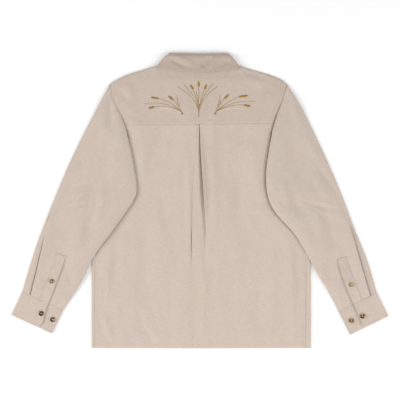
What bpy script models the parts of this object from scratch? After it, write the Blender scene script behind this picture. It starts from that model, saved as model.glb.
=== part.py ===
# A chambray shirt laid flat on a table, face down and back up.
# Sizes are in millimetres and become metres when a mesh is made.
# +X is the wearer's right, +Y points to the collar and +Z up. The table top is z = 0.
# Each sheet of cloth is an open surface through the middle of its wall, thickened by a Solidify modifier.

import math

import bmesh
import bpy
import numpy as np

MM = 0.001
WALL = 1.0
SEAM_GAP = 0.3
LAYER = WALL + 0.4
FOLD_RADIUS = 1.0
PLEAT_RADIUS = 0.65
FLAT_FOLD_STEP = 1.6
FLOOR_LEVEL = WALL / 2
EDGE_LEVEL = FLOOR_LEVEL + 2 * FOLD_RADIUS
WELD = 2e-6
# The tables below are measured from a line near the middle. This moves the shirt's middle to the origin.
FRAME_SHIFT = (0.3, -1.2)

CENTRE_X = -2.0
HEM_Y = -353.0
YOKE_SEAM_Y = 184.6
SEAM_TILT = 0.0109
NOTCH_Y = 154.0
NECK_BASE_Y = 254.0
WRAP = 10.0

# Heights that a layer gains over what lies under it, and the bands of distance over which it gains them.
BUTTON_LIFT = 2.6
PLACKET_BAND = (18.0, 62.0)
UNDER_FRONT_BAND = (-58.0, -19.0)
COLLAR_BAND_X = (100.0, 150.0)
COLLAR_BAND_Y = (190.0, 226.0)
CENTRE_LIFT = 3.3
CENTRE_BAND = (22.0, 150.0)
PLEAT_BAND = (5.0, 40.0)
YOKE_PLEAT_BAND = (190.0, 290.0)
SLEEVE_BAND = (20.0, 55.0)
SLEEVE_PLEAT_BAND = (4.0, 24.0)
SLEEVE_TOP_BAND = (150.0, 205.0)

PLACKET_WIDTH = 32.0
CUFF_LAP = 22.0
SLEEVE_PLACKET_WIDTH = 24.0
SLEEVE_PLEAT_DEPTH = 12.0
FRONT_BUTTONS = 7
FRONT_BUTTON_TOP_Y = 222.0
FRONT_BUTTON_PITCH = 82.0
CLOTH_COLOUR = (0.60, 0.50, 0.42)
BUTTON_COLOUR = (0.10, 0.05, 0.025)
# Radius and thickness of the buttons.
CUFF_BUTTON_SIZE = (6.0, 2.4)
PLACKET_BUTTON_SIZE = (5.2, 2.2)
FRONT_BUTTON_SIZE = (5.75, 2.3)

# Outlines, as distances outward from x = 0, and y. Each side has its own, since the shirt lies a little askew.
ARMHOLE = {
    -1: [(216.5, 281.0), (207.1, 242.4), (187.5, 201.0), (172.8, 154.3), (169.0, 118.0), (176.0, 78.0),
         (196.0, 38.0), (224.0, 12.0), (254.5, 0.0)],
    1: [(208.5, 281.0), (198.2, 242.4), (182.0, 200.0), (170.5, 154.0), (168.0, 118.0), (176.0, 78.0),
        (197.0, 38.0), (228.0, 12.0), (259.5, 0.0)],
}
SIDE_EDGE = {
    -1: [(257.0, 0.0), (259.0, -90.0), (260.4, -180.0), (260.4, -353.0)],
    1: [(262.0, 0.0), (264.5, -90.0), (266.6, -180.0), (266.6, -353.0)],
}
SIDE_SEAM_IN = {-1: 8.0, 1: 12.0}
SHOULDER = {
    -1: [(216.5, 281.0), (201.8, 290.4), (170.2, 304.8), (122.9, 319.2), (98.8, 327.6)],
    1: [(208.5, 281.0), (197.0, 290.4), (161.3, 304.8), (109.9, 319.2), (88.8, 327.6)],
}
BACK_NECK = {
    -1: [(98.8, 327.6), (92.0, 323.5), (55.0, 319.5), (2.0, 318.0)],
    1: [(88.8, 327.6), (82.0, 323.5), (45.0, 319.5), (-2.0, 318.0)],
}
FRONT_NECK = {
    -1: [(2.0, 254.0), (26.0, 254.6), (58.0, 264.5), (86.0, 291.0), (94.6, 316.0)],
    1: [(-2.0, 254.0), (22.0, 254.6), (52.0, 264.5), (77.0, 291.0), (84.6, 316.0)],
}
SLEEVE_OUTER = {
    -1: [(216.5, 281.0), (227.3, 261.6), (250.1, 218.4), (299.0, 122.4), (341.5, 26.4), (379.7, -69.6),
         (404.6, -141.6), (426.9, -216.7)],
    1: [(208.5, 281.0), (222.7, 261.6), (247.4, 218.4), (293.8, 122.4), (335.8, 26.4), (372.5, -69.6),
        (401.5, -141.6), (425.0, -219.9)],
}
SLEEVE_INNER = {
    -1: [(172.8, 154.3), (160.0, 92.0), (152.2, 40.8), (152.6, 20.0), (161.5, -1.2), (186.2, -37.9),
         (216.7, -80.9), (253.4, -129.8), (268.8, -165.6), (295.4, -213.6), (328.1, -261.6)],
    1: [(170.5, 154.0), (160.5, 92.0), (157.9, 48.0), (163.2, 9.6), (175.2, -19.7), (205.7, -56.4),
        (230.2, -84.0), (257.8, -129.8), (275.5, -165.6), (305.0, -213.6), (332.3, -265.5)],
}
CUFF_END = {-1: ((453.0, -273.6), (355.2, -318.5)), 1: ((452.4, -276.0), (360.0, -321.6))}
# The visible edge of each sleeve pleat, from where it starts to the cuff seam.
SLEEVE_PLEAT = {-1: ((365.5, -57.4), (405.4, -222.5)), 1: ((349.0, -22.0), (407.6, -225.5))}
# The lapping edge of each sleeve slit, from the top of its placket to the cuff seam.
SLIT = {
    -1: [(320.9, -132.0), (338.0, -180.0), (361.5, -241.0)],
    1: [(328.3, -139.7), (343.8, -188.0), (365.0, -242.0)],
}
# The cuff's lapping end: distance from the outer edge at the seam and at the bottom, and its corner radius.
CUFF_LAP_END = {-1: (68.2, 78.5, 17.0), 1: (62.0, 66.0, 12.0)}
CUFF_BUTTONS = {-1: ((380.9, -269.8), (353.5, -284.4)), 1: ((389.8, -276.2), (363.4, -287.3))}
PLACKET_BUTTON = {-1: (355.7, -192.5), 1: (362.4, -200.9)}

# Inverted box pleat: y, x of the left fold, x of the right fold, depth of a fold, how far it is formed.
BACK_PLEAT = [
    (184.6, -4.2, -1.2, 18.0, 1.0), (120.0, -8.9, 1.2, 15.0, 1.0), (26.0, -18.2, 7.9, 10.0, 1.0),
    (-57.0, -19.9, 13.0, 5.0, 1.0), (-100.0, -20.5, 13.3, 0.0, 1.0), (-150.0, -21.0, 13.5, 0.0, 0.5),
    (-215.0, -21.0, 14.0, 0.0, 0.0), (-353.0, -21.0, 14.0, 0.0, 0.0),
]
BACK_ROWS = [-353.0, -302.0, -256.0, -215.0, -183.0, -150.0, -125.0, -100.0, -57.0, -28.0, 0.0]
ARMHOLE_LOW_YS = [0.0, 12.0, 38.0, 78.0, 118.0, 154.0]
FRONT_ARM_YS = [0.0, 12.0, 38.0, 78.0, 118.0, 154.0, 185.0, 212.0, 235.0, 255.0, 272.0]
FRONT_INNER_YS = [0.0, 45.0, 90.0, 135.0, 180.0, 220.0, 254.0]
NOTCH_ROWS = 3
YOKE_ROWS = 4
# Rows of a sleeve, as shares of its outer and its inner edge. The split row crosses the underarm.
SLEEVE_ROWS = [
    (0.0, 0.0), (0.12, 0.07), (0.25, 0.14), (0.38, 0.21), (0.47, 0.25), (0.53, 0.283),
    (0.565, 0.325), (0.61, 0.385), (0.66, 0.46), (0.71, 0.54), (0.76, 0.62), (0.81, 0.70),
    (0.86, 0.78), (0.91, 0.86), (0.955, 0.93), (1.0, 1.0),
]
SPLIT_ROW = 5

# Collar leaf: the roll line at its top and its lower edge on the back, from left to right, in plain x and y.
LEAF_TOP = [(-71.5, 355.9), (-45.0, 354.6), (-2.4, 353.3), (40.0, 354.0), (66.7, 355.2)]
LEAF_BOTTOM = [(-97.2, 318.2), (-60.0, 312.6), (-1.0, 308.2), (55.0, 312.4), (87.1, 317.8)]
LEAF_SIDE = {
    -1: [(71.5, 355.4), (84.2, 348.0), (90.5, 340.8), (96.3, 334.0), (98.6, 330.2)],
    1: [(66.7, 354.6), (74.4, 348.0), (80.9, 340.8), (86.7, 334.0), (88.8, 330.2)],
}
LEAF_POINT = (52.0, 232.0)
LEAF_OPENING = 7.0
LEAF_SHARES = [0.0, 0.3, 0.6, 0.82, 1.0]
LEAF_TOP_SHARES = [0.045, 0.11, 0.2075, 0.305, 0.4025, 0.5, 0.5975, 0.695, 0.7925, 0.89, 0.955]
# Shapes of the leaf's upper edge: how far back and how high each of its two points lies.
LEAF_CURL = [(0.0, 0.0), (0.3, 0.7)]
SIDE_LIP = [(0.3, 0.7), (0.2, 0.2)]
FRONT_LIP = [(0.7, 0.7), (0.5, 0.2)]
LEAF_OVER_STAND = [(1.5, 3.0), (2.0, 3.0), (0.0, 4.0)]
LEAF_CLEAR = 1.8
STAND_HEIGHT = 30.0
STAND_ROWS = 2
PLACKET_CLEAR = 0.3


def ease(value, start, end):
    """0 at start and 1 at end, with soft ends."""
    t = min(max((value - start) / (end - start), 0.0), 1.0)
    return t * t * (3.0 - 2.0 * t)


def mix(a, b, t):
    return a + (b - a) * t


def spline(table, steps=24):
    """Catmull-Rom curve through a table of points, as a dense array."""
    points = np.array(table, dtype=float)
    padded = np.vstack([2 * points[0] - points[1], points, 2 * points[-1] - points[-2]])
    curve = []
    for i in range(len(points) - 1):
        a, b, c, d = padded[i:i + 4]
        for t in np.arange(steps) / steps:
            curve.append(0.5 * (2 * b + (c - a) * t + (2 * a - 5 * b + 4 * c - d) * t ** 2
                                + (3 * b - a - 3 * c + d) * t ** 3))
    curve.append(points[-1])
    return np.array(curve)


def along(curve, fractions):
    """Points at fractions of a curve's length."""
    lengths = np.concatenate([[0.0], np.cumsum(np.linalg.norm(np.diff(curve, axis=0), axis=1))])
    wanted = np.array(fractions) * lengths[-1]
    return np.column_stack([np.interp(wanted, lengths, curve[:, k]) for k in range(2)])


def evenly(curve, count):
    return along(curve, np.linspace(0.0, 1.0, count + 1))


def x_at(curve, y):
    """x where a curve that falls in y has that y."""
    return float(np.interp(-y, -curve[:, 1], curve[:, 0]))


def pushed(curve, distance):
    """A curve moved sideways, to the right of its direction of travel."""
    tangent = np.gradient(curve, axis=0)
    tangent /= np.linalg.norm(tangent, axis=1)[:, None]
    return curve + distance * np.column_stack([tangent[:, 1], -tangent[:, 0]])


def coons(start, end, left, right):
    """Rows of plan points between four edges. start and end run across, left and right run down."""
    rows = []
    for i, s in enumerate(np.linspace(0.0, 1.0, len(left))):
        row = []
        for j, w in enumerate(np.linspace(0.0, 1.0, len(start))):
            sides = mix(left[i], right[i], w)
            ends = mix(start[j], end[j], s)
            corners = mix(mix(start[0], start[-1], w), mix(end[0], end[-1], w), s)
            row.append(sides + ends - corners)
        rows.append(row)
    return rows


ARMHOLE_CURVE = {side: spline(ARMHOLE[side]) for side in (-1, 1)}
SIDE_CURVE = {side: spline(SIDE_EDGE[side]) for side in (-1, 1)}
BODY_OUTLINE = {side: np.vstack([ARMHOLE_CURVE[side], SIDE_CURVE[side]]) for side in (-1, 1)}


def placket_rise(x):
    """The front band is held off the table by its buttons."""
    return BUTTON_LIFT * (1.0 - ease(abs(x - CENTRE_X), *PLACKET_BAND))


def collar_rise(x, y):
    """The fronts lie over the points of the collar leaf."""
    return LAYER * (1.0 - ease(abs(x - CENTRE_X), *COLLAR_BAND_X)) * ease(y, *COLLAR_BAND_Y)


def front_level(x, y):
    return FLOOR_LEVEL + max(placket_rise(x), collar_rise(x, y))


def under_front_level(x, y):
    """The left front lies under the right one in use, so face down it is one layer higher."""
    return front_level(x, y) + LAYER * ease(x - CENTRE_X, *UNDER_FRONT_BAND)


def pleat_at(y):
    table = np.array(BACK_PLEAT)
    return [float(np.interp(-y, -table[:, 0], table[:, k])) for k in range(1, 5)]


def pleat_lift(x, y):
    """How far the main layer stands above the underlay of the back pleat."""
    left, right, depth, formed = pleat_at(y)
    beyond = max(left - x, x - right, 0.0) - depth
    return 4 * PLEAT_RADIUS * formed * (1.0 - ease(beyond, *PLEAT_BAND))


def back_level(x, y):
    centre = CENTRE_LIFT * (1.0 - ease(abs(x - CENTRE_X), *CENTRE_BAND))
    return EDGE_LEVEL + max(centre, collar_rise(x, y))


def yoke_level(x, y):
    return back_level(x, y) + pleat_lift(x, YOKE_SEAM_Y) * (1.0 - ease(y, *YOKE_PLEAT_BAND))


def outside_body(side, x, y):
    """Distance of a plan point from the body's outline, negative inside it."""
    outline = BODY_OUTLINE[side]
    nearest = float(np.min(np.linalg.norm(outline - np.array([x, y]), axis=1)))
    if y > ARMHOLE[side][0][1]:
        return nearest
    return nearest if x > x_at(outline, y) else -nearest


def over_body(side, x, y):
    """1 where the sleeve lies on the body and 0 where it lies on the table."""
    return 1.0 - ease(outside_body(side, x, y), *SLEEVE_BAND)


def s_fold(edge, depth, formed):
    """Across and up, from the low layer round two turns to the top layer, for one knife fold."""
    near = edge + WALL / 2 + PLEAT_RADIUS
    points = []
    for k in range(8):
        angle = math.radians(-90 + 60 * (k % 4))
        if k < 4:
            across = near + depth + PLEAT_RADIUS * math.cos(angle)
            up = PLEAT_RADIUS * (1 + math.sin(angle))
        else:
            across = near - PLEAT_RADIUS * math.cos(angle)
            up = PLEAT_RADIUS * (3 + math.sin(angle))
        flat = near + (k - 3.5) * FLAT_FOLD_STEP
        points.append((mix(flat, across, formed), up * formed))
    return points


def turn():
    """Out and up, in fold radii, round the outside of a fold from its low side to its high side."""
    return [(math.cos(math.radians(a)), math.sin(math.radians(a))) for a in (-90, -30, 30, 90)]


def place(side, x, y, z):
    """Metres, from millimetres measured outward on one side."""
    return ((side * x + FRAME_SHIFT[0]) * MM, (y + FRAME_SHIFT[1]) * MM, z * MM)


def material(name, colour, roughness):
    made = bpy.data.materials.new(name)
    made.use_nodes = True
    shader = made.node_tree.nodes["Principled BSDF"]
    shader.inputs["Base Color"].default_value = (*colour, 1.0)
    shader.inputs["Roughness"].default_value = roughness
    shader.inputs["Metallic"].default_value = 0.0
    return made


def lay_cloth(name, collection, grids):
    """One sheet of cloth from grids of points that share their edges, thickened both ways."""
    bm = bmesh.new()
    for rows in grids:
        made = bmesh.ops.create_grid(bm, x_segments=len(rows[0]) - 1, y_segments=len(rows) - 1, size=1.0)
        flat = [point for row in rows for point in row]
        for vert, point in zip(made["verts"], flat):
            vert.co = point
    bmesh.ops.remove_doubles(bm, verts=bm.verts, dist=WELD)
    bmesh.ops.recalc_face_normals(bm, faces=bm.faces)
    mesh = bpy.data.meshes.new(name)
    bm.to_mesh(mesh)
    bm.free()
    mesh.shade_smooth()
    cloth = bpy.data.objects.new(name, mesh)
    collection.objects.link(cloth)
    mesh.materials.append(material(name, CLOTH_COLOUR, 0.85))
    thicken = cloth.modifiers.new("Wall", "SOLIDIFY")
    thicken.thickness = WALL * MM
    thicken.offset = 0.0
    thicken.use_quality_normals = True
    return cloth


def body_edge_x(side, y):
    """Outward distance of the back panel's cut edge: the side seam, or the armhole above the underarm."""
    if y >= 0.0:
        return x_at(ARMHOLE_CURVE[side], y)
    seam_in = mix(2.5, SIDE_SEAM_IN[side], ease(-y, 0.0, 110.0))
    return x_at(SIDE_CURVE[side], y) - seam_in


def seam_y(x, y):
    """The yoke seam runs slightly uphill to the right, and the rows next to it follow."""
    return y + SEAM_TILT * x * ease(y, 110.0, YOKE_SEAM_Y)


def armhole_point(side, y):
    """A point of the armhole seam on the row with this y at the centre."""
    x = x_at(ARMHOLE_CURVE[side], y)
    for _ in range(3):
        x = x_at(ARMHOLE_CURVE[side], seam_y(side * x, y))
    return np.array([x, seam_y(side * x, y)])


def notch_points(side):
    return [armhole_point(side, y) for y in np.linspace(NOTCH_Y, YOKE_SEAM_Y, NOTCH_ROWS + 1)]


def yoke_side_points(side):
    corner = armhole_point(side, YOKE_SEAM_Y)
    ys = np.linspace(corner[1], SHOULDER[side][0][1], YOKE_ROWS + 1)
    return [np.array([x_at(ARMHOLE_CURVE[side], y), y]) for y in ys]


def back_row(y):
    """One row of the back panel from left to right, through both folds of the pleat."""
    left, right, depth, formed = pleat_at(y)
    row = []
    for side, edge in ((-1, left), (1, right)):
        fold = s_fold(0.0, depth, formed)
        outer = body_edge_x(side, y) if y < 0.0 else armhole_point(side, y)[0]
        inner = side * edge + fold[-1][0]
        plain = [mix(outer - SEAM_GAP, inner, t) for t in (0.0, 0.17, 0.35, 0.53, 0.7, 0.85)]
        half = []
        for x in plain:
            level = back_level(side * x, y) + pleat_lift(side * x, y)
            half.append((side * x, seam_y(side * x, y), level))
        for across, up in reversed(fold):
            x = side * edge + across
            half.append((side * x, seam_y(side * x, y), back_level(side * x, y) + up))
        row.append(half)
    middle = (left + right) / 2
    centre = [(middle, seam_y(middle, y), back_level(middle, y))]
    return row[0] + centre + row[1][::-1]


def back_panel(collection):
    ys = BACK_ROWS + ARMHOLE_LOW_YS[1:-1] + list(np.linspace(NOTCH_Y, YOKE_SEAM_Y, NOTCH_ROWS + 1))
    ys[-1] -= SEAM_GAP
    rows = []
    for y in ys:
        rows.append([place(1, *point) for point in back_row(y)])
    lay_cloth("back_panel", collection, [rows])


def shoulder_fold(side):
    """The shoulder line from the armhole to the neck, and where the flat part of the yoke ends beside it."""
    line = evenly(spline(SHOULDER[side]), 4)
    return line, pushed(line, -(WALL / 2 + FOLD_RADIUS))


def wrap_end(side, index, point, normal):
    """Where the yoke ends on the front side, on the armhole at its outer end."""
    end = point + normal * WRAP
    if index == 0:
        return np.array([x_at(ARMHOLE_CURVE[side], end[1]) - SEAM_GAP, end[1]])
    return end


def shoulder_wrap(side, first_row):
    """The yoke turned over the shoulder fold, ending on the front side."""
    line, _ = shoulder_fold(side)
    normals = pushed(line, -1.0) - line
    rows = []
    for index, (point, normal) in enumerate(zip(line, normals)):
        top = yoke_level(side * point[0], point[1])
        low = front_level(side * point[0], point[1])
        radius = (top - low) / 2
        row = [first_row[index]]
        for out, up in turn()[::-1][1:]:
            shift = normal * (WALL / 2 + radius * (1 - out))
            row.append(place(side, *(point + shift), low + radius * (1 + up)))
        end = wrap_end(side, index, point, normal)
        row.append(place(side, *end, front_level(side * end[0], end[1])))
        rows.append(row)
    return rows


def back_yoke(collection):
    """Yoke from its seam to the back neck, turned over both shoulders."""
    grids = []
    for side in (-1, 1):
        _, flat_end = shoulder_fold(side)
        outer = np.array(yoke_side_points(side)) - np.array([SEAM_GAP, 0.0])
        outer[-1] = flat_end[0]
        outer[0][1] += SEAM_GAP / 2
        neck = evenly(spline(BACK_NECK[side]), 4)[1:]
        neck[:, 1] -= SEAM_GAP / 2
        top = np.vstack([flat_end, neck])
        seam_centre = [side * CENTRE_X, YOKE_SEAM_Y + SEAM_GAP / 2 + SEAM_TILT * CENTRE_X]
        bottom = np.linspace(outer[0], seam_centre, len(top))
        inner = np.linspace(bottom[-1], top[-1], YOKE_ROWS + 1)
        rows = coons(bottom, top, outer, inner)
        half = [[place(side, p[0], p[1], yoke_level(side * p[0], p[1])) for p in row] for row in rows]
        grids.append(half)
        grids.append(shoulder_wrap(side, half[-1]))
    lay_cloth("back_yoke", collection, grids)


def front_outer_points(side):
    """The front's outer edge: the flat end beside the side fold up to the underarm, then the armhole seam."""
    low = [np.array([x_at(SIDE_CURVE[side], y) - WALL / 2 - FOLD_RADIUS, y]) for y in BACK_ROWS]
    high = [np.array([x_at(ARMHOLE_CURVE[side], y) - SEAM_GAP / 2, y]) for y in FRONT_ARM_YS[1:]]
    line, _ = shoulder_fold(side)
    normal = (pushed(line, -1.0) - line)[0]
    high[-1] = wrap_end(side, 0, line[0], normal * (WRAP + SEAM_GAP) / WRAP)
    return np.array(low + high)


def front_row(outer, inner, centre):
    """One row of a front. The columns near the placket keep their distance from the centre line."""
    wanted = np.maximum(centre + np.array([62.0, 40.0, 20.5]), inner[0] + np.array([24.0, 14.0, 5.0]))
    late = (outer[0] - wanted) / (outer[0] - inner[0])
    fractions = [0.0, late[0] / 4, late[0] / 2, late[0] * 0.75, *late, 1.0]
    return [mix(outer, inner, t) for t in fractions]


def front_neck_points(side):
    """The front neckline from beside the placket up to the shoulder."""
    return [np.array(p) for p in FRONT_NECK[side][1:]]


def front(side, name, collection, inner_x, level):
    """One front from its centre edge round the side fold to the side seam on the back."""
    inner = [np.array([inner_x, y]) for y in BACK_ROWS + FRONT_INNER_YS[1:]]
    inner += front_neck_points(side)
    rows = []
    for a, b in zip(front_outer_points(side), inner):
        row = front_row(a, b, side * CENTRE_X)
        rows.append([place(side, p[0], p[1], level(side * p[0], p[1])) for p in row])
    wrap = []
    for index, y in enumerate(BACK_ROWS):
        edge = x_at(SIDE_CURVE[side], y)
        seam = body_edge_x(side, y)
        strip = [rows[index][0]]
        for out, up in turn()[1:]:
            x = edge - WALL / 2 - FOLD_RADIUS * (1 - out)
            strip.append(place(side, x, y, FLOOR_LEVEL + FOLD_RADIUS * (1 + up)))
        strip.append(place(side, seam, y, EDGE_LEVEL))
        wrap.append(strip)
    lay_cloth(name, collection, [rows, wrap])


def fronts(collection):
    right_edge = CENTRE_X + PLACKET_WIDTH / 2 + SEAM_GAP
    left_edge = -(CENTRE_X + PLACKET_WIDTH / 2 - 1.0)
    front(1, "front_right", collection, right_edge, front_level)
    front(-1, "front_left", collection, left_edge, under_front_level)
    rows = []
    for y in np.linspace(HEM_Y, NECK_BASE_Y - SEAM_GAP, 9):
        xs = np.linspace(CENTRE_X - PLACKET_WIDTH / 2, CENTRE_X + PLACKET_WIDTH / 2, 3)
        rows.append([place(1, x, y, FLOOR_LEVEL + BUTTON_LIFT) for x in xs])
    lay_cloth("front_placket", collection, [rows])


def sleeve_bottom_level(side, x, y):
    return mix(FLOOR_LEVEL, back_level(side * x, y) + LAYER, over_body(side, x, y))


def sleeve_top_level(side, x, y):
    """Top layer of the sleeve before its pleat: over two layers and the body, or over the table."""
    raised = over_body(side, x, y) * (1.0 - ease(y, *SLEEVE_TOP_BAND))
    return mix(max(EDGE_LEVEL, back_level(side * x, y)), back_level(side * x, y) + 2 * LAYER, raised)


def sleeve_pleat_at(side, x, y):
    """Distance inward of the sleeve pleat's edge, the pleat's depth there and how far it is formed."""
    start, end = (np.array(p) for p in SLEEVE_PLEAT[side])
    length = np.linalg.norm(end - start)
    tangent = (end - start) / length
    offset = np.array([x, y]) - start
    share = float(np.dot(offset, tangent)) / length
    inward = float(offset[0] * tangent[1] - offset[1] * tangent[0])
    return inward, SLEEVE_PLEAT_DEPTH * ease(share, 0.25, 1.0), ease(share, 0.0, 0.3)


def sleeve_surface(side, x, y):
    """Height of the sleeve's top layer, on the inner side of its pleat."""
    inward, depth, formed = sleeve_pleat_at(side, x, y)
    lift = 4 * PLEAT_RADIUS * formed * (1.0 - ease(inward - depth, *SLEEVE_PLEAT_BAND))
    return sleeve_top_level(side, x, y) + lift


def sleeve_edges(side):
    """The outer and inner edges of the sleeve, row by row, and the same lines where its flat layers end."""
    outer_curve = spline(SLEEVE_OUTER[side])
    inner_curve = spline(SLEEVE_INNER[side])
    start = 2.2 / np.sum(np.linalg.norm(np.diff(outer_curve, axis=0), axis=1))
    outer_at = [mix(start, 1.0, row[0]) for row in SLEEVE_ROWS]
    inner_at = [row[1] for row in SLEEVE_ROWS]
    outer = along(outer_curve, outer_at)
    inner = along(inner_curve, inner_at)
    outer_normal = along(pushed(outer_curve, 1.0), outer_at) - outer
    inner_normal = along(pushed(inner_curve, -1.0), inner_at) - inner
    return outer, outer_normal, inner, inner_normal


def sleeve(side, name, collection):
    """A flattened tube. Its top layer starts at the armhole seam. The layer under that lies on the back panel
    up to the low part of the armhole, and on the table beyond the underarm."""
    outer, outer_normal, inner, inner_normal = sleeve_edges(side)
    heights = []
    flat_outer = []
    flat_inner = []
    for i in range(len(SLEEVE_ROWS)):
        low = sleeve_bottom_level(side, *inner[i])
        high = sleeve_top_level(side, *inner[i])
        heights.append((low, high))
        flat_outer.append(outer[i] + outer_normal[i] * (WALL / 2 + FOLD_RADIUS))
        flat_inner.append(inner[i] + inner_normal[i] * (WALL / 2 + (high - low) / 2))

    seam = yoke_side_points(side)[::-1] + notch_points(side)[::-1][1:]
    seam = np.array(seam) + np.array([SEAM_GAP / 2, 0.0])
    seam[0] = flat_outer[0]
    seam[-1] = flat_inner[0]
    start = np.array([seam[0]] + [p for a, b in zip(seam[:-1], seam[1:]) for p in ((a + b) / 2, b)])
    split = SPLIT_ROW
    cross = np.linspace(flat_outer[split], flat_inner[split], len(start))
    top = coons(start, cross, flat_outer[:split + 1], flat_inner[:split + 1])
    top = [[(p, 0.0) for p in row] for row in top]
    for i in range(split + 1, len(SLEEVE_ROWS)):
        top.append(sleeve_top_row(side, flat_outer[i], flat_inner[i], ease(i, split, split + 3)))

    tip = np.array([SIDE_EDGE[side][0][0] + 0.9, 0.6])
    low_arm = np.array([[x_at(ARMHOLE_CURVE[side], y), y] for y in ARMHOLE_LOW_YS[::-1]])
    low_arm[0] = flat_inner[0]
    low_arm[-1] = tip
    over = coons(low_arm, np.linspace(flat_inner[split], tip, len(low_arm)), flat_inner[:split + 1],
                 [tip] * (split + 1))
    front_arm = np.array([[x_at(ARMHOLE_CURVE[side], y) + SEAM_GAP / 2, y] for y in FRONT_ARM_YS])
    front_arm[0] = tip
    front_arm = np.vstack([front_arm, [flat_outer[0]]])
    under = coons(front_arm, np.linspace(tip, flat_outer[split], len(front_arm)), [tip] * (split + 1),
                  flat_outer[:split + 1])
    tip_share = np.linalg.norm(tip - cross[-1]) / np.linalg.norm(cross[0] - cross[-1])
    rows = []
    for i in range(len(SLEEVE_ROWS)):
        low, high = heights[i]
        row = []
        for p, up in top[i]:
            level = sleeve_surface(side, *p) if up is None else sleeve_top_level(side, *p) + up
            row.append(place(side, *p, level))
        radius = (high - low) / 2
        for out, up in turn()[::-1][1:-1]:
            edge = inner[i] + inner_normal[i] * (WALL / 2 + radius * (1 - out))
            row.append(place(side, *edge, low + radius * (1 + up)))
        if i <= split:
            row += [place(side, *p, back_level(side * p[0], p[1]) + LAYER) for p in over[i]]
            row += [place(side, *p, FLOOR_LEVEL) for p in under[i]]
        else:
            done = (i - split) / (len(SLEEVE_ROWS) - 1 - split)
            share = mix(tip_share, 0.34, done)
            shares = [*np.linspace(0.0, share, len(low_arm)),
                      *np.linspace(share + 0.04 * min(3 * done, 1.0), 1.0, len(front_arm))]
            for t in shares:
                p = mix(flat_inner[i], flat_outer[i], t)
                row.append(place(side, *p, sleeve_bottom_level(side, *p)))
        for out, up in turn()[1:]:
            edge = outer[i] + outer_normal[i] * (WALL / 2 + FOLD_RADIUS * (1 - out))
            row.append(place(side, *edge, FLOOR_LEVEL + FOLD_RADIUS * (1 + up)))
        row[-1] = row[0]
        rows.append(row)
    lay_cloth(name, collection, [rows])


def sleeve_top_row(side, a, b, grouped):
    """One row of the top layer below the split: points with their height, or None on the free cloth."""
    width = np.linalg.norm(b - a)
    start, end = (np.array(p) for p in SLEEVE_PLEAT[side])
    across = (b - a) / width
    tangent = (end - start) / np.linalg.norm(end - start)
    gap = start - a
    edge = (gap[0] * tangent[1] - gap[1] * tangent[0]) / (across[0] * tangent[1] - across[1] * tangent[0])
    edge = max(edge, 6.0)
    _, depth, formed = sleeve_pleat_at(side, *(a + across * edge))
    fold = s_fold(edge, depth, formed)
    last = fold[-1][0]
    free = [mix(max(last, edge + 12.0), width, t) for t in (0.14, 0.34, 0.56, 0.78, 1.0)]
    places = [0.0, min(edge, fold[0][0]) / 2] + [f[0] for f in fold] + free
    rises = [0.0, 0.0] + [f[1] for f in fold] + [None] * len(free)
    even = np.linspace(0.0, width, len(places))
    return [(a + across * mix(e, p, grouped), rise) for e, p, rise in zip(even, places, rises)]


def stand_front_points(side):
    """Lower and upper edge of the stand on the front, from the side fold to beside the placket."""
    low = pushed(np.array(FRONT_NECK[side][::-1]), SEAM_GAP)
    lower = [low[0], low[1], low[2], low[3], np.array([side * CENTRE_X, NECK_BASE_Y + 2 * SEAM_GAP])]
    high = pushed(np.array(FRONT_NECK[side][::-1]), STAND_HEIGHT)
    top = LEAF_SIDE[side][0]
    upper = [np.array([top[0] - 5.5, 326.0]), high[1], high[2], high[3],
             np.array([side * CENTRE_X, NECK_BASE_Y + STAND_HEIGHT])]
    return lower, upper


def stand_side(side):
    """The stand's side fold, just inside that of the leaf, from its neck edge up."""
    curve = pushed(evenly(spline(LEAF_SIDE[side]), 16), LEAF_CLEAR)
    return along(curve, np.linspace(1.0, 0.12, STAND_ROWS + 1))


def collar_stand(collection):
    """A band from one end at the centre front, round the neck, to the other end, which it overlaps there."""
    columns = []
    for side in (-1, 1):
        lower, upper = stand_front_points(side)
        end = side * CENTRE_X - PLACKET_WIDTH / 2 + 1.0
        lower.append(np.array([end, NECK_BASE_Y + 2 * SEAM_GAP]))
        upper.append(np.array([end, NECK_BASE_Y + STAND_HEIGHT]))
        level = front_level if side == 1 else under_front_level
        front_part = []
        for a, b in zip(lower, upper):
            column = np.linspace(a, b, STAND_ROWS + 1)
            front_part.append([place(side, *p, level(side * p[0], p[1])) for p in column])
        fold_line = stand_side(side)
        normals = pushed(fold_line, -1.0) - fold_line
        folds = []
        for out, up in turn():
            column = []
            for point, normal in zip(fold_line, normals):
                low = front_level(side * point[0], point[1])
                high = yoke_level(side * point[0], point[1])
                radius = (high - low) / 2
                spot = point + normal * (WALL / 2 + radius * (1 - out))
                column.append(place(side, *spot, low + radius * (1 + up)))
            folds.append(column)
        neck = evenly(spline(BACK_NECK[side]), 4)[1:]
        neck[:, 1] += SEAM_GAP / 2
        roll = LEAF_TOP if side == 1 else [(-x, y) for x, y in LEAF_TOP[::-1]]
        roll = along(spline(roll)[::-1], np.linspace(0.0, 0.5, 5))[1:]
        back_part = []
        for a, b in zip(neck, roll):
            column = np.linspace(a, [b[0], b[1] - WALL / 2 - 1.6], STAND_ROWS + 1)
            back_part.append([place(side, *p, yoke_level(side * p[0], p[1])) for p in column])
        columns.append(front_part[::-1] + folds + back_part)
    right = columns[1][::-1]
    right[0] = columns[0][-1]
    lay_cloth("collar_stand", collection, [columns[0] + right[1:]])


def leaf_radius(side, p):
    """Half the height between the leaf's front and back, where it turns at the side."""
    return (yoke_level(side * p[0], p[1]) + LAYER - FLOOR_LEVEL) / 2


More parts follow.
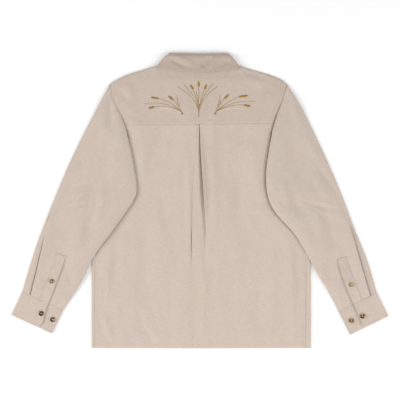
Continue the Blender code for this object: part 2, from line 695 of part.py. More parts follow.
def leaf_side(side):
    """Points down the side fold of the leaf, the normals there, and where its flat back layer ends."""
    curve = spline(LEAF_SIDE[side])
    line = along(curve, LEAF_SHARES)
    normals = along(pushed(curve, 1.0), LEAF_SHARES) - line
    flat = [p + n * (leaf_radius(side, p) + WALL / 2) for p, n in zip(line, normals)]
    return line, normals, np.array(flat)


def leaf_back():
    """Columns of the leaf's back from left to right. Each starts with two points of its curled top edge."""
    left = leaf_side(-1)[2] * [-1, 1]
    right = leaf_side(1)[2]
    top = along(spline(LEAF_TOP), LEAF_TOP_SHARES)
    top[:, 1] -= WALL / 2 + LAYER / 2
    top[0], top[-1] = left[0], right[0]
    bottom = along(spline(LEAF_BOTTOM), np.linspace(0.0, 1.0, len(top) - 2))
    rows = coons(top, np.vstack([[left[-1]], bottom, [right[-1]]]), left, right)
    columns = []
    for j, (x, y) in enumerate(top):
        level = yoke_level(x, y) + LAYER
        column = []
        for back, up in LEAF_CURL:
            column.append(place(1, x, y + LAYER / 2 * (1 - back), level - LAYER / 2 * (1 - up)))
        for row in rows:
            column.append(place(1, *row[j], yoke_level(*row[j]) + LAYER))
        columns.append(column)
    return columns


def leaf_turn(side):
    """Columns round the side fold, from the back to the front."""
    line, normals, _ = leaf_side(side)
    columns = []
    for out, up in turn()[::-1][1:]:
        column = []
        for p, n in zip(line, normals):
            radius = leaf_radius(side, p)
            spot = p + n * (WALL / 2 + radius * (1 - out))
            column.append(place(side, *spot, FLOOR_LEVEL + radius * (1 + up)))
        x, y, z = column[0]
        inward = abs(up) * MM * (-1 if up > 0 else 1)
        lip = [(x, y + back * MM, z + rise * inward) for back, rise in SIDE_LIP]
        columns.append(lip + column)
    return columns


def leaf_front(side):
    """Columns of the leaf's front, from the side fold to beside the placket."""
    flat = leaf_side(side)[2]
    stand_top = stand_front_points(side)[1]
    roll = [flat[0]] + [point + np.array(step) for point, step in zip(stand_top, LEAF_OVER_STAND)]
    roll.append(np.array([side * CENTRE_X + LEAF_OPENING, NECK_BASE_Y + STAND_HEIGHT + 4.0]))
    low_edge = along(spline([flat[-1], (flat[-1][0] - 6.0, 291.0), LEAF_POINT]), np.linspace(0, 1, len(roll)))
    patch = coons(np.array(roll), low_edge, flat, np.linspace(roll[-1], LEAF_POINT, len(LEAF_SHARES)))
    columns = []
    for j, (x, y) in list(enumerate(roll))[1:]:
        lip = [place(side, x, y + back, FLOOR_LEVEL + up) for back, up in FRONT_LIP]
        columns.append(lip + [place(side, *row[j], FLOOR_LEVEL) for row in patch])
    return columns


def collar_leaf(collection):
    """The fall: its top curls down behind the stand, its sides turn under to the points on the front."""
    left = leaf_turn(-1) + leaf_front(-1)
    right = leaf_turn(1) + leaf_front(1)
    lay_cloth("collar_leaf", collection, [left[::-1] + leaf_back() + right])


def cuff_ends(side):
    """Outer and inner end of the cuff's seam, then of its lower edge."""
    seam = (np.array(SLEEVE_OUTER[side][-1]), np.array(SLEEVE_INNER[side][-1]))
    return seam, (np.array(CUFF_END[side][0]), np.array(CUFF_END[side][1]))


def cuff(side, name, collection):
    """A band round the wrist from its lapping end, over the outer edge, under, and up to its other end."""
    top, bottom = cuff_ends(side)
    down = (bottom[0] - top[0]) / np.linalg.norm(bottom[0] - top[0])
    across = np.array([down[1], -down[0]])
    depth = float(np.dot(bottom[0] - top[0], down))
    width = float(np.dot(top[1] - top[0], across))
    narrow = float(np.dot(bottom[1] - bottom[0], across)) / width
    end_top, end_bottom, corner = CUFF_LAP_END[side]
    edge = WALL / 2 + FOLD_RADIUS

    def lap_level(a):
        return EDGE_LEVEL + LAYER * ease(a, end_top - CUFF_LAP - 22.0, end_top - CUFF_LAP - 4.0)

    section = []
    for angle in (90, 60, 30, 0):
        back = corner * (1 - math.sin(math.radians(angle)))
        stop = depth - corner * (1 - math.cos(math.radians(angle)))
        section.append((end_top - back, lap_level(end_top - back), stop, True))
    for a in np.linspace(end_top - CUFF_LAP - 3.0, end_top - CUFF_LAP - 23.0, 4):
        section.append((a, lap_level(a), depth, True))
    section.append((edge, EDGE_LEVEL, depth, True))
    for out, up in turn()[::-1][1:]:
        section.append((edge - FOLD_RADIUS * out, FLOOR_LEVEL + FOLD_RADIUS * (1 + up), depth, False))
    section.append((width / 2, FLOOR_LEVEL, depth, False))
    for out, up in turn():
        section.append((width - edge + FOLD_RADIUS * out, FLOOR_LEVEL + FOLD_RADIUS * (1 + up), depth, False))
    section.append((end_top - CUFF_LAP / 2, EDGE_LEVEL, depth, False))
    section.append((end_top - CUFF_LAP, EDGE_LEVEL, depth, False))
    rows = []
    for v in (0.0, 0.35, 0.7, 1.0):
        row = []
        for a, z, stop, lapping in section:
            distance = mix(SEAM_GAP, stop, v)
            share = distance / depth
            wide = mix(1.0, end_bottom / end_top, share) if lapping else mix(1.0, narrow, share)
            row.append(place(side, *(top[0] + across * a * wide + down * distance), z))
        rows.append(row)
    lay_cloth(name, collection, [rows])


def sleeve_placket(side, name, collection):
    """A strip over the sleeve slit, made from the sleeve's own surface, one layer up."""
    (seam_outer, _), (end_outer, _) = cuff_ends(side)
    down = (end_outer - seam_outer) / np.linalg.norm(end_outer - seam_outer)
    inner = evenly(spline(SLIT[side]), 5)
    outer = pushed(inner, -SLEEVE_PLACKET_WIDTH)
    for line in (inner, outer):
        line[-1] = line[-1] - down * (np.dot(line[-1] - seam_outer, down) + SEAM_GAP)
    rows = []
    for a, b in zip(inner, outer):
        points = [mix(a, b, t) for t in (0.0, 0.5, 1.0)]
        rows.append([place(side, *p, sleeve_surface(side, *p) + LAYER + PLACKET_CLEAR) for p in points])
    lay_cloth(name, collection, [rows])


def button(name, collection, x, y, base, radius, thickness, face_down=False):
    """A turned button with a raised rim. base is the height of its lowest point."""
    profile = [(0.0, 0.72), (0.62, 0.72), (0.8, 1.0), (0.94, 0.9), (1.0, 0.55), (0.7, 0.0), (0.0, 0.0)]
    bm = bmesh.new()
    verts = [bm.verts.new((r * radius * MM, 0.0, z * thickness * MM)) for r, z in profile]
    for a, b in zip(verts[:-1], verts[1:]):
        bm.edges.new((a, b))
    mesh = bpy.data.meshes.new(name)
    bm.to_mesh(mesh)
    bm.free()
    made = bpy.data.objects.new(name, mesh)
    collection.objects.link(made)
    mesh.materials.append(material(name, BUTTON_COLOUR, 0.3))
    spin = made.modifiers.new("Turned", "SCREW")
    spin.steps = 14
    spin.render_steps = 14
    spin.use_merge_vertices = True
    spin.merge_threshold = 1e-5
    spin.use_normal_calculate = False
    made.location = place(1, x, y, base + (thickness if face_down else 0.0))
    if face_down:
        made.rotation_euler = (math.pi, 0.0, 0.0)


def buttons(collection):
    """Cuff and sleeve buttons face up on the sleeves. Front buttons lie face down on the table."""
    seat = WALL / 2 + SEAM_GAP
    for side, word in ((-1, "left"), (1, "right")):
        lap, under = CUFF_BUTTONS[side]
        lap_top = EDGE_LEVEL + LAYER + seat
        button("button_cuff_" + word, collection, side * lap[0], lap[1], lap_top, *CUFF_BUTTON_SIZE)
        button("button_cuff_spare_" + word, collection, side * under[0], under[1], EDGE_LEVEL + seat,
               *CUFF_BUTTON_SIZE)
        x, y = PLACKET_BUTTON[side]
        reach = PLACKET_BUTTON_SIZE[0]
        corners = [(x + i * reach, y + j * reach) for i in (-1, 1) for j in (-1, 1)]
        base = max(sleeve_surface(side, *c) for c in corners) + LAYER + PLACKET_CLEAR + seat
        button("button_placket_" + word, collection, side * x, y, base, *PLACKET_BUTTON_SIZE)
    for k in range(FRONT_BUTTONS):
        y = FRONT_BUTTON_TOP_Y - k * FRONT_BUTTON_PITCH
        button("button_front_%d" % (k + 1), collection, CENTRE_X, y, 0.0, *FRONT_BUTTON_SIZE, face_down=True)
    button("button_stand", collection, CENTRE_X, NECK_BASE_Y + STAND_HEIGHT / 2, 0.0, *FRONT_BUTTON_SIZE,
           face_down=True)


def make_all():
    for old in list(bpy.data.objects):
        bpy.data.objects.remove(old, do_unlink=True)
    shirt = bpy.data.collections.new("Chambray shirt")
    bpy.context.scene.collection.children.link(shirt)
    back_panel(shirt)
    back_yoke(shirt)
    fronts(shirt)
    collar_stand(shirt)
    collar_leaf(shirt)
    for side, word in ((-1, "left"), (1, "right")):
        sleeve(side, "sleeve_" + word, shirt)
        sleeve_placket(side, "sleeve_placket_" + word, shirt)
        cuff(side, "cuff_" + word, shirt)
    buttons(shirt)


make_all()
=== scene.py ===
# %% [markdown]
# # A chambray shirt, laid flat on its front
# The shirt lies face down on a table, so the camera looks straight down on its back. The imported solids
# give every panel its place and its form. This notebook lays a thin cloth shell over each of them, and
# adds what a solid leaves out: soft creases, the weave, the sewing, the embroidery and the buttons.

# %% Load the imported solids
import math

import bmesh
import bpy
import numpy as np
from mathutils import Matrix, Vector, noise
from mathutils.bvhtree import BVHTree


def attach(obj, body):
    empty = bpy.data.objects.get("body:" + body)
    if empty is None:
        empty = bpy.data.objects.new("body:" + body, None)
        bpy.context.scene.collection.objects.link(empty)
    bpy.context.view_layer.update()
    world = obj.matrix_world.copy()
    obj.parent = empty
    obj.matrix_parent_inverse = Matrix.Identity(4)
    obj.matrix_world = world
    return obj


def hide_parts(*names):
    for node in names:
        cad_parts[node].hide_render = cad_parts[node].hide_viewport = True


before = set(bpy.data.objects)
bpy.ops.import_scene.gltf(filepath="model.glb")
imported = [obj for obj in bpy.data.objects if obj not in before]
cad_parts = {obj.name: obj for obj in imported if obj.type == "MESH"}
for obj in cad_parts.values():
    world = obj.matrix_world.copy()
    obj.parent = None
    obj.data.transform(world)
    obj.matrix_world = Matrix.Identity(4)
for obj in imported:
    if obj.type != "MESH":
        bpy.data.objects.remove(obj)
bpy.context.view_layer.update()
print("packed nodes:", len(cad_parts))

# %% [markdown]
# ## Sizes
# All tables are in millimetres. Each side of the shirt has its own outline, because a shirt that is laid
# out by hand is never quite even. "Outward" means away from the middle, on either side: -1 is the
# wearer's left and 1 the right.

# %% Named sizes
MM = 0.001
FRAME_SHIFT = (0.3, -1.2)
WALL = 1.0
CLOTH = 0.7
SEAM_GAP = 0.3
LAYER = 1.4
FOLD_RADIUS = 1.0
PLEAT_RADIUS = 0.65
PLEAT_STACK = 4 * PLEAT_RADIUS
FLOOR_LEVEL = WALL / 2
EDGE_LEVEL = FLOOR_LEVEL + 2 * FOLD_RADIUS
SIDES = ((-1, "left"), (1, "right"))

CENTRE_X = -2.0
HEM_Y = -353.0
YOKE_SEAM_Y = 184.6
SEAM_TILT = 0.0109
NOTCH_Y = 154.0
NECK_BASE_Y = 254.0
BUTTON_LIFT = 2.6
PLACKET_WIDTH = 32.0
CUFF_LAP = 22.0
SLEEVE_PLACKET_WIDTH = 24.0
SLEEVE_PLEAT_DEPTH = 12.0
STAND_HEIGHT = 30.0

# %% Outlines, as points outward and up the shirt
ARMHOLE = {
    -1: [(216.5, 281.0), (207.1, 242.4), (187.5, 201.0), (172.8, 154.3), (169.0, 118.0), (176.0, 78.0),
         (196.0, 38.0), (224.0, 12.0), (254.5, 0.0)],
    1: [(208.5, 281.0), (198.2, 242.4), (182.0, 200.0), (170.5, 154.0), (168.0, 118.0), (176.0, 78.0),
        (197.0, 38.0), (228.0, 12.0), (259.5, 0.0)],
}
SIDE_EDGE = {
    -1: [(257.0, 0.0), (259.0, -90.0), (260.4, -180.0), (260.4, -353.0)],
    1: [(262.0, 0.0), (264.5, -90.0), (266.6, -180.0), (266.6, -353.0)],
}
SIDE_SEAM_IN = {-1: 8.0, 1: 12.0}
SHOULDER = {
    -1: [(216.5, 281.0), (201.8, 290.4), (170.2, 304.8), (122.9, 319.2), (98.8, 327.6)],
    1: [(208.5, 281.0), (197.0, 290.4), (161.3, 304.8), (109.9, 319.2), (88.8, 327.6)],
}
BACK_NECK = {
    -1: [(98.8, 327.6), (92.0, 323.5), (55.0, 319.5), (2.0, 318.0)],
    1: [(88.8, 327.6), (82.0, 323.5), (45.0, 319.5), (-2.0, 318.0)],
}
FRONT_NECK = {
    -1: [(2.0, 254.0), (26.0, 254.6), (58.0, 264.5), (86.0, 291.0), (94.6, 316.0)],
    1: [(-2.0, 254.0), (22.0, 254.6), (52.0, 264.5), (77.0, 291.0), (84.6, 316.0)],
}
SLEEVE_OUTER = {
    -1: [(216.5, 281.0), (227.3, 261.6), (250.1, 218.4), (299.0, 122.4), (341.5, 26.4), (379.7, -69.6),
         (404.6, -141.6), (426.9, -216.7)],
    1: [(208.5, 281.0), (222.7, 261.6), (247.4, 218.4), (293.8, 122.4), (335.8, 26.4), (372.5, -69.6),
        (401.5, -141.6), (425.0, -219.9)],
}
SLEEVE_INNER = {
    -1: [(172.8, 154.3), (160.0, 92.0), (152.2, 40.8), (152.6, 20.0), (161.5, -1.2), (186.2, -37.9),
         (216.7, -80.9), (253.4, -129.8), (268.8, -165.6), (295.4, -213.6), (328.1, -261.6)],
    1: [(170.5, 154.0), (160.5, 92.0), (157.9, 48.0), (163.2, 9.6), (175.2, -19.7), (205.7, -56.4),
        (230.2, -84.0), (257.8, -129.8), (275.5, -165.6), (305.0, -213.6), (332.3, -265.5)],
}
CUFF_END = {-1: ((453.0, -273.6), (355.2, -318.5)), 1: ((452.4, -276.0), (360.0, -321.6))}
SLEEVE_PLEAT = {-1: ((365.5, -57.4), (405.4, -222.5)), 1: ((349.0, -22.0), (407.6, -225.5))}
SLIT = {
    -1: [(320.9, -132.0), (338.0, -180.0), (361.5, -241.0)],
    1: [(328.3, -139.7), (343.8, -188.0), (365.0, -242.0)],
}
CUFF_LAP_END = {-1: (68.2, 78.5, 17.0), 1: (62.0, 66.0, 12.0)}
CUFF_BUTTONS = {-1: ((380.9, -269.8), (353.5, -284.4)), 1: ((389.8, -276.2), (363.4, -287.3))}
PLACKET_BUTTON = {-1: (355.7, -192.5), 1: (362.4, -200.9)}
FRONT_BUTTON_YS = [222.0 - 82.0 * k for k in range(7)]
print("points in the body's outline:", sum(len(ARMHOLE[s]) + len(SIDE_EDGE[s]) for s, _ in SIDES))

# %% The pleats and the rows of points down each panel
# Height up the shirt, left and right edge of the back pleat, its depth, and how far it is formed.
BACK_PLEAT = [
    (184.6, -4.2, -1.2, 18.0, 1.0), (120.0, -8.9, 1.2, 15.0, 1.0), (26.0, -18.2, 7.9, 10.0, 1.0),
    (-57.0, -19.9, 13.0, 5.0, 0.9), (-100.0, -20.5, 13.3, 0.0, 0.6), (-150.0, -21.0, 13.5, 0.0, 0.25),
    (-215.0, -21.0, 14.0, 0.0, 0.0), (-353.0, -21.0, 14.0, 0.0, 0.0),
]
BACK_ROWS = [-353.0, -302.0, -256.0, -215.0, -183.0, -150.0, -125.0, -100.0, -57.0, -28.0, 0.0]
ARMHOLE_LOW_YS = [0.0, 12.0, 38.0, 78.0, 118.0, 154.0]
FRONT_ARM_YS = [0.0, 12.0, 38.0, 78.0, 118.0, 154.0, 185.0, 212.0, 235.0, 255.0, 272.0]
FRONT_INNER_YS = [0.0, 45.0, 90.0, 135.0, 180.0, 220.0, 254.0]
NOTCH_ROWS = 3
YOKE_ROWS = 4
SHOULDER_STEPS = 8
NECK_STEPS = 5
# Share of the way down a sleeve's outer and inner edge for each row of points.
SLEEVE_ROWS = [
    (0.0, 0.0), (0.12, 0.07), (0.25, 0.14), (0.38, 0.21), (0.47, 0.25), (0.53, 0.283),
    (0.565, 0.325), (0.61, 0.385), (0.66, 0.46), (0.71, 0.54), (0.76, 0.62), (0.81, 0.70),
    (0.86, 0.78), (0.91, 0.86), (0.955, 0.93), (1.0, 1.0),
]
SPLIT_ROW = 5
STAND_SIDE = {
    -1: [(71.5, 355.4), (84.2, 348.0), (90.5, 340.8), (96.3, 334.0), (98.6, 330.2)],
    1: [(66.7, 354.6), (74.4, 348.0), (80.9, 340.8), (86.7, 334.0), (88.8, 330.2)],
}
LEAF_TOP = [(-75.6, 355.9), (-45.0, 354.6), (-2.4, 353.3), (40.0, 354.2), (69.6, 354.9)]
LEAF_BOTTOM = [(-102.8, 319.2), (-60.0, 312.6), (-1.0, 308.2), (55.0, 312.4), (91.6, 318.6)]
LEAF_SIDE = {
    -1: [(75.6, 355.4), (84.2, 348.0), (90.5, 340.8), (97.8, 332.4), (103.4, 325.6)],
    1: [(69.6, 354.4), (75.4, 348.0), (81.2, 340.8), (87.8, 332.4), (92.6, 325.6)],
}
LEAF_POINT = (52.0, 232.0)
LEAF_CLEAR = 1.8
LEAF_SHARES = [0.0, 0.3, 0.6, 0.82, 1.0]
LEAF_TOP_SHARES = [0.045, 0.11, 0.2075, 0.305, 0.4025, 0.5, 0.5975, 0.695, 0.7925, 0.89, 0.955]
print("rows: back", len(BACK_ROWS), "sleeve", len(SLEEVE_ROWS), "collar leaf", len(LEAF_TOP_SHARES))

# %% [markdown]
# ## Curves
# A pattern cutter draws an edge as a smooth curve through a few measured points. The same is done here:
# a table becomes a dense curve, and points are then picked from it at even steps.


# %% Curves and small helpers
def ease(value, start, end):
    """0 at start and 1 at end, with soft ends. Takes a number or an array."""
    t = np.clip((value - start) / (end - start), 0.0, 1.0)
    return t * t * (3.0 - 2.0 * t)


def mix(a, b, t):
    return a + (b - a) * t


def spline(table, steps=24):
    """A smooth curve through a table of points, as a dense array."""
    points = np.array(table, dtype=float)
    padded = np.vstack([2 * points[0] - points[1], points, 2 * points[-1] - points[-2]])
    curve = []
    for i in range(len(points) - 1):
        a, b, c, d = padded[i:i + 4]
        for t in np.arange(steps) / steps:
            curve.append(0.5 * (2 * b + (c - a) * t + (2 * a - 5 * b + 4 * c - d) * t ** 2
                                + (3 * b - a - 3 * c + d) * t ** 3))
    curve.append(points[-1])
    return np.array(curve)


def along(curve, fractions):
    """Points at fractions of a curve's length."""
    lengths = np.concatenate([[0.0], np.cumsum(np.linalg.norm(np.diff(curve, axis=0), axis=1))])
    wanted = np.array(fractions) * lengths[-1]
    return np.column_stack([np.interp(wanted, lengths, curve[:, k]) for k in range(curve.shape[1])])


def evenly(curve, count):
    return along(curve, np.linspace(0.0, 1.0, count + 1))


def x_at(curve, y):
    """x where a curve that falls in y has that y."""
    return np.interp(-y, -curve[:, 1], curve[:, 0])


def pushed(curve, distance):
    """A curve moved sideways, to the right of its direction of travel."""
    tangent = np.gradient(curve, axis=0)
    tangent /= np.linalg.norm(tangent, axis=1)[:, None]
    return curve + distance * np.column_stack([tangent[:, 1], -tangent[:, 0]])


def nearest(curve, x, y):
    """For plan points: the distance from a curve, how far along it that is, and which side it is on."""
    best = np.full(np.shape(x), 1e9)
    place = np.zeros(np.shape(x))
    sign = np.zeros(np.shape(x))
    for k in range(len(curve) - 1):
        start, step = curve[k], curve[k + 1] - curve[k]
        raw = ((x - start[0]) * step[0] + (y - start[1]) * step[1]) / max(np.dot(step, step), 1e-9)
        t = np.clip(raw, 0.0, 1.0)
        away = np.hypot(x - start[0] - t * step[0], y - start[1] - t * step[1])
        closer = away < best
        best = np.where(closer, away, best)
        place = np.where(closer, (k + t) / (len(curve) - 1), place)
        sign = np.where(closer, step[0] * (y - start[1]) - step[1] * (x - start[0]), sign)
    return best, place, sign


def distance_to(curve, x, y):
    return nearest(curve, x, y)[0]


def coons(start, end, left, right):
    """Rows of plan points between four edges. start and end run across, left and right run down."""
    rows = []
    for i, s in enumerate(np.linspace(0.0, 1.0, len(left))):
        row = []
        for j, w in enumerate(np.linspace(0.0, 1.0, len(start))):
            sides = mix(left[i], right[i], w)
            ends = mix(start[j], end[j], s)
            corners = mix(mix(start[0], start[-1], w), mix(end[0], end[-1], w), s)
            row.append(sides + ends - corners)
        rows.append(row)
    return rows


ARMHOLE_CURVE = {side: spline(ARMHOLE[side]) for side in (-1, 1)}
SIDE_CURVE = {side: spline(SIDE_EDGE[side]) for side in (-1, 1)}
BODY_OUTLINE = {side: np.vstack([ARMHOLE_CURVE[side], SIDE_CURVE[side]]) for side in (-1, 1)}
print("points in each smooth outline:", [len(curve) for curve in BODY_OUTLINE.values()])

# %% [markdown]
# ## Levels
# Each layer of a laid-out shirt lies on the one below it. These functions give the height of the middle
# of each layer at any point of the plan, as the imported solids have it: the front band is held up by its
# buttons, the fronts lie over the points of the collar, and the back lies over all of that.


# %% Heights of the layers
# Each band is where a rise begins to fade and where it is gone, in mm.
PLACKET_BAND = (18.0, 62.0)
UNDER_FRONT_BAND = (-58.0, -19.0)
COLLAR_BAND_X = (100.0, 150.0)
COLLAR_BAND_Y = (190.0, 226.0)
CENTRE_LIFT = 3.3
CENTRE_BAND = (22.0, 150.0)
PLEAT_BAND = (5.0, 40.0)
YOKE_PLEAT_BAND = (190.0, 290.0)
SLEEVE_BAND = (20.0, 55.0)
SLEEVE_TOP_BAND = (150.0, 205.0)
SLEEVE_PLEAT_BAND = (4.0, 24.0)


def fading(value, band):
    """1 before a band and 0 after it."""
    return 1.0 - ease(value, *band)


def placket_rise(x):
    return BUTTON_LIFT * fading(abs(x - CENTRE_X), PLACKET_BAND)


def collar_rise(x, y):
    return LAYER * fading(abs(x - CENTRE_X), COLLAR_BAND_X) * ease(y, *COLLAR_BAND_Y)


def front_level(x, y):
    return FLOOR_LEVEL + np.maximum(placket_rise(x), collar_rise(x, y))


def under_front_level(x, y):
    return front_level(x, y) + LAYER * ease(x - CENTRE_X, *UNDER_FRONT_BAND)


def pleat_at(y):
    table = np.array(BACK_PLEAT)
    return [np.interp(-y, -table[:, 0], table[:, k]) for k in range(1, 5)]


def pleat_lift(x, y):
    left, right, depth, formed = pleat_at(y)
    beyond = max(left - x, x - right, 0.0) - depth
    return PLEAT_STACK * formed * fading(beyond, PLEAT_BAND)


def back_level(x, y):
    centre = CENTRE_LIFT * fading(abs(x - CENTRE_X), CENTRE_BAND)
    return EDGE_LEVEL + np.maximum(centre, collar_rise(x, y))


def yoke_level(x, y):
    return back_level(x, y) + pleat_lift(x, YOKE_SEAM_Y) * fading(y, YOKE_PLEAT_BAND)


def over_body(side, x, y):
    """1 where the sleeve lies on the body and 0 where it lies on the table."""
    outline = BODY_OUTLINE[side]
    away = np.min(np.hypot(outline[:, 0] - x, outline[:, 1] - y))
    if y <= ARMHOLE[side][0][1] and x <= x_at(outline, y):
        away = -away
    return fading(away, SLEEVE_BAND)


def sleeve_bottom_level(side, x, y):
    return mix(FLOOR_LEVEL, back_level(side * x, y) + LAYER, over_body(side, x, y))


def sleeve_top_level(side, x, y):
    raised = over_body(side, x, y) * fading(y, SLEEVE_TOP_BAND)
    level = back_level(side * x, y)
    return mix(max(EDGE_LEVEL, level), level + 2 * LAYER, raised)


def sleeve_pleat_at(side, x, y):
    """Distance inward of the sleeve pleat's edge, the pleat's depth there and how far it is formed."""
    start, end = (np.array(p) for p in SLEEVE_PLEAT[side])
    length = np.linalg.norm(end - start)
    tangent = (end - start) / length
    offset = np.array([x, y]) - start
    share = float(np.dot(offset, tangent)) / length
    inward = float(offset[0] * tangent[1] - offset[1] * tangent[0])
    return inward, SLEEVE_PLEAT_DEPTH * ease(share, 0.25, 1.0), ease(share, 0.0, 0.3)


def sleeve_surface(side, x, y):
    inward, depth, formed = sleeve_pleat_at(side, x, y)
    lift = PLEAT_STACK * formed * fading(inward - depth, SLEEVE_PLEAT_BAND)
    return sleeve_top_level(side, x, y) + lift


print("the back lies %.1f mm up at its middle, %.1f mm at its side"
      % (back_level(0.0, 0.0), back_level(200.0, 0.0)))

# %% [markdown]
# ## Creases
# A shirt that was folded or handled keeps soft creases. They are listed one by one: each is a line on the
# plan, with a height (negative for a trough) and a width on either side of its line, and it fades out at
# both ends. No two are alike in length, depth or spacing.

# %% Creases of the back: line, height, width on its left and on its right
BODY_CREASES = [
    ([(-70, 182), (-95, 138), (-120, 95), (-142, 58)], -1.5, 17, 13),
    ([(-92, 184), (-116, 142), (-140, 104), (-152, 78)], 1.3, 14, 12),
    ([(-30, 118), (-28, 52), (-27, -20), (-29, -96), (-32, -160)], 1.5, 8, 9),
    ([(-39, 128), (-37, 52), (-36, -20), (-38, -100), (-42, -150)], -1.0, 7, 9),
    ([(-1, 200), (4, 90), (10, 10), (15, -60)], 2.2, 3, 12),
    ([(-131, -30), (-129, -120), (-133, -205), (-140, -268)], -1.5, 15, 19),
    ([(-98, -10), (-95, -110), (-100, -232)], 1.2, 18, 16),
    ([(-13, -112), (-13, -190), (-15, -270), (-14, -338)], -1.3, 9, 11),
    ([(8, -130), (9, -205), (6, -285), (8, -345)], 1.3, 11, 10),
    ([(98, 92), (96, 10), (99, -60), (96, -112)], -1.3, 10, 15),
    ([(66, 60), (63, -30), (70, -120)], 1.0, 17, 14),
    ([(26, 150), (32, 60), (36, -40), (34, -120)], 0.9, 12, 10),
    ([(232, -88), (236, -150), (239, -214), (243, -300), (240, -346)], -1.3, 9, 12),
    ([(216, -100), (219, -170), (222, -250), (220, -330)], 1.4, 12, 9),
    ([(-254, -246), (-243, -282), (-228, -320), (-214, -350)], -1.4, 7, 10),
    ([(-238, -262), (-224, -300), (-206, -346)], 1.2, 9, 10),
    ([(-146, -256), (-136, -300), (-118, -350)], -1.2, 9, 12),
    ([(-126, -262), (-115, -302), (-99, -348)], 0.9, 10, 9),
    ([(150, -180), (144, -250), (149, -330)], -0.9, 14, 17),
    ([(176, -150), (172, -230), (178, -312)], 0.9, 15, 14),
    ([(-196, -92), (-201, -160), (-206, -226)], -0.9, 13, 12),
    ([(-222, -128), (-224, -190), (-229, -252)], 1.0, 11, 12),
    ([(84, -196), (78, -262), (82, -330)], -0.8, 11, 15),
    ([(-70, -190), (-66, -250), (-71, -338)], -0.8, 14, 11),
    ([(118, 150), (124, 96), (121, 40)], 0.9, 16, 18),
    ([(-96, 40), (-88, -8), (-84, -70)], -0.9, 14, 11),
]
YOKE_CREASES = [
    ([(92, 316), (112, 308), (136, 301), (160, 296)], -1.5, 8, 7),
    ([(108, 296), (134, 289), (160, 282)], 0.9, 9, 10),
    ([(-100, 316), (-126, 307), (-152, 299)], -0.8, 8, 8),
    ([(-190, 274), (-184, 252), (-170, 236)], -1.2, 8, 10),
    ([(-176, 286), (-168, 262), (-152, 240)], 0.9, 10, 9),
    ([(-186, 216), (-176, 208), (-158, 203)], -1.0, 7, 8),
    ([(170, 262), (160, 244), (150, 222)], 0.8, 12, 10),
    ([(-84, 232), (-60, 228), (-30, 230)], 0.5, 14, 12),
]
# Creases of the sleeves run outward on either side, so their x is the distance from the middle.
SLEEVE_CREASES = {
    -1: [
        ([(212, 272), (213, 232), (212, 186), (207, 142)], -1.6, 10, 12),
        ([(230, 244), (236, 196), (234, 146)], 1.0, 14, 12),
        ([(246, 62), (258, -2), (267, -66), (273, -128)], -2.2, 13, 11),
        ([(226, 40), (239, -12), (252, -72)], 1.3, 10, 12),
        ([(300, 70), (320, 22), (345, -34), (364, -80)], -1.5, 9, 12),
        ([(282, 40), (303, -18), (330, -80)], 1.1, 13, 12),
        ([(290, -40), (302, -100), (306, -160)], 0.9, 13, 15),
        ([(196, 130), (206, 90), (208, 44)], 0.9, 13, 14),
        ([(322, -150), (312, -184), (306, -208)], -0.9, 8, 9),
        ([(384, -150), (391, -178), (398, -204)], -0.8, 4, 6),
        ([(262, 158), (282, 108), (296, 70)], -0.8, 12, 10),
        ([(345, -120), (358, -150), (368, -184)], 0.6, 7, 8),
    ],
    1: [
        ([(208, 268), (212, 224), (208, 176)], -0.9, 11, 12),
        ([(230, 236), (236, 190), (236, 150)], 0.9, 14, 12),
        ([(290, 10), (303, -38), (315, -88), (323, -130)], -1.7, 9, 12),
        ([(272, -6), (288, -62), (300, -120)], 1.1, 11, 12),
        ([(278, 96), (300, 62), (326, 26), (345, -8)], -1.3, 10, 9),
        ([(262, 76), (288, 38), (312, 0)], 0.9, 12, 12),
        ([(214, 40), (228, 2), (246, -44)], -1.2, 11, 13),
        ([(196, 60), (204, 22), (218, -12)], 1.1, 11, 11),
        ([(244, -60), (264, -104), (280, -148)], 1.0, 10, 11),
        ([(318, -128), (307, -168), (312, -206)], -0.9, 7, 9),
        ([(336, -96), (352, -130), (366, -172), (376, -204)], -1.0, 6, 8),
        ([(250, 168), (268, 130), (282, 96)], 0.8, 12, 12),
    ],
}
COLLAR_CREASES = [
    ([(-80, 342), (-62, 335), (-46, 327), (-28, 318)], -1.3, 5, 4),
    ([(-70, 349), (-44, 341), (-22, 331), (-8, 321)], 1.0, 6, 7),
    ([(30, 347), (20, 336), (9, 326), (2, 318)], -1.3, 4, 5),
    ([(46, 350), (36, 337), (26, 324), (20, 314)], 0.9, 6, 7),
    ([(72, 338), (58, 329), (44, 320)], -0.7, 5, 6),
]
print("creases:", len(BODY_CREASES) + len(YOKE_CREASES) + len(COLLAR_CREASES)
      + sum(len(table) for table in SLEEVE_CREASES.values()))


# %% Height of all the creases of a table
CREASE_DEPTH = 2.1
CREASE_REACH = 2.6
FREE_DIP = 0.3


def creased(x, y, table):
    """Sum of the creases at plan points. The two widths give a fold its steeper and its gentler side."""
    total = np.zeros(np.shape(x))
    for line, height, left, right in table:
        curve = spline(line, 5)
        reach = CREASE_REACH * max(left, right)
        near = (x > curve[:, 0].min() - reach) & (x < curve[:, 0].max() + reach)
        near &= (y > curve[:, 1].min() - reach) & (y < curve[:, 1].max() + reach)
        if not near.any():
            continue
        best, place, sign = nearest(curve, x[near], y[near])
        width = np.where(sign > 0.0, left, right)
        fade = ease(place, 0.0, 0.3) * (1.0 - ease(place, 0.65, 1.0))
        total[near] += CREASE_DEPTH * height * fade * np.exp(-(best / width) ** 2)
    return total


def held_up(relief, room):
    """A trough can't reach the layer under it, so its bottom is rounded off."""
    below = np.minimum(relief + FREE_DIP, 0.0)
    return np.where(relief < -FREE_DIP, -FREE_DIP - room * (1.0 - np.exp(below / room)), relief)


def crumple(x, y, size, seed):
    """Gentle unevenness of cloth that was handled, between about -1 and 1."""
    flat = [noise.noise(Vector((a / size, b / size, seed))) for a, b in zip(np.ravel(x), np.ravel(y))]
    return np.array(flat).reshape(np.shape(x))


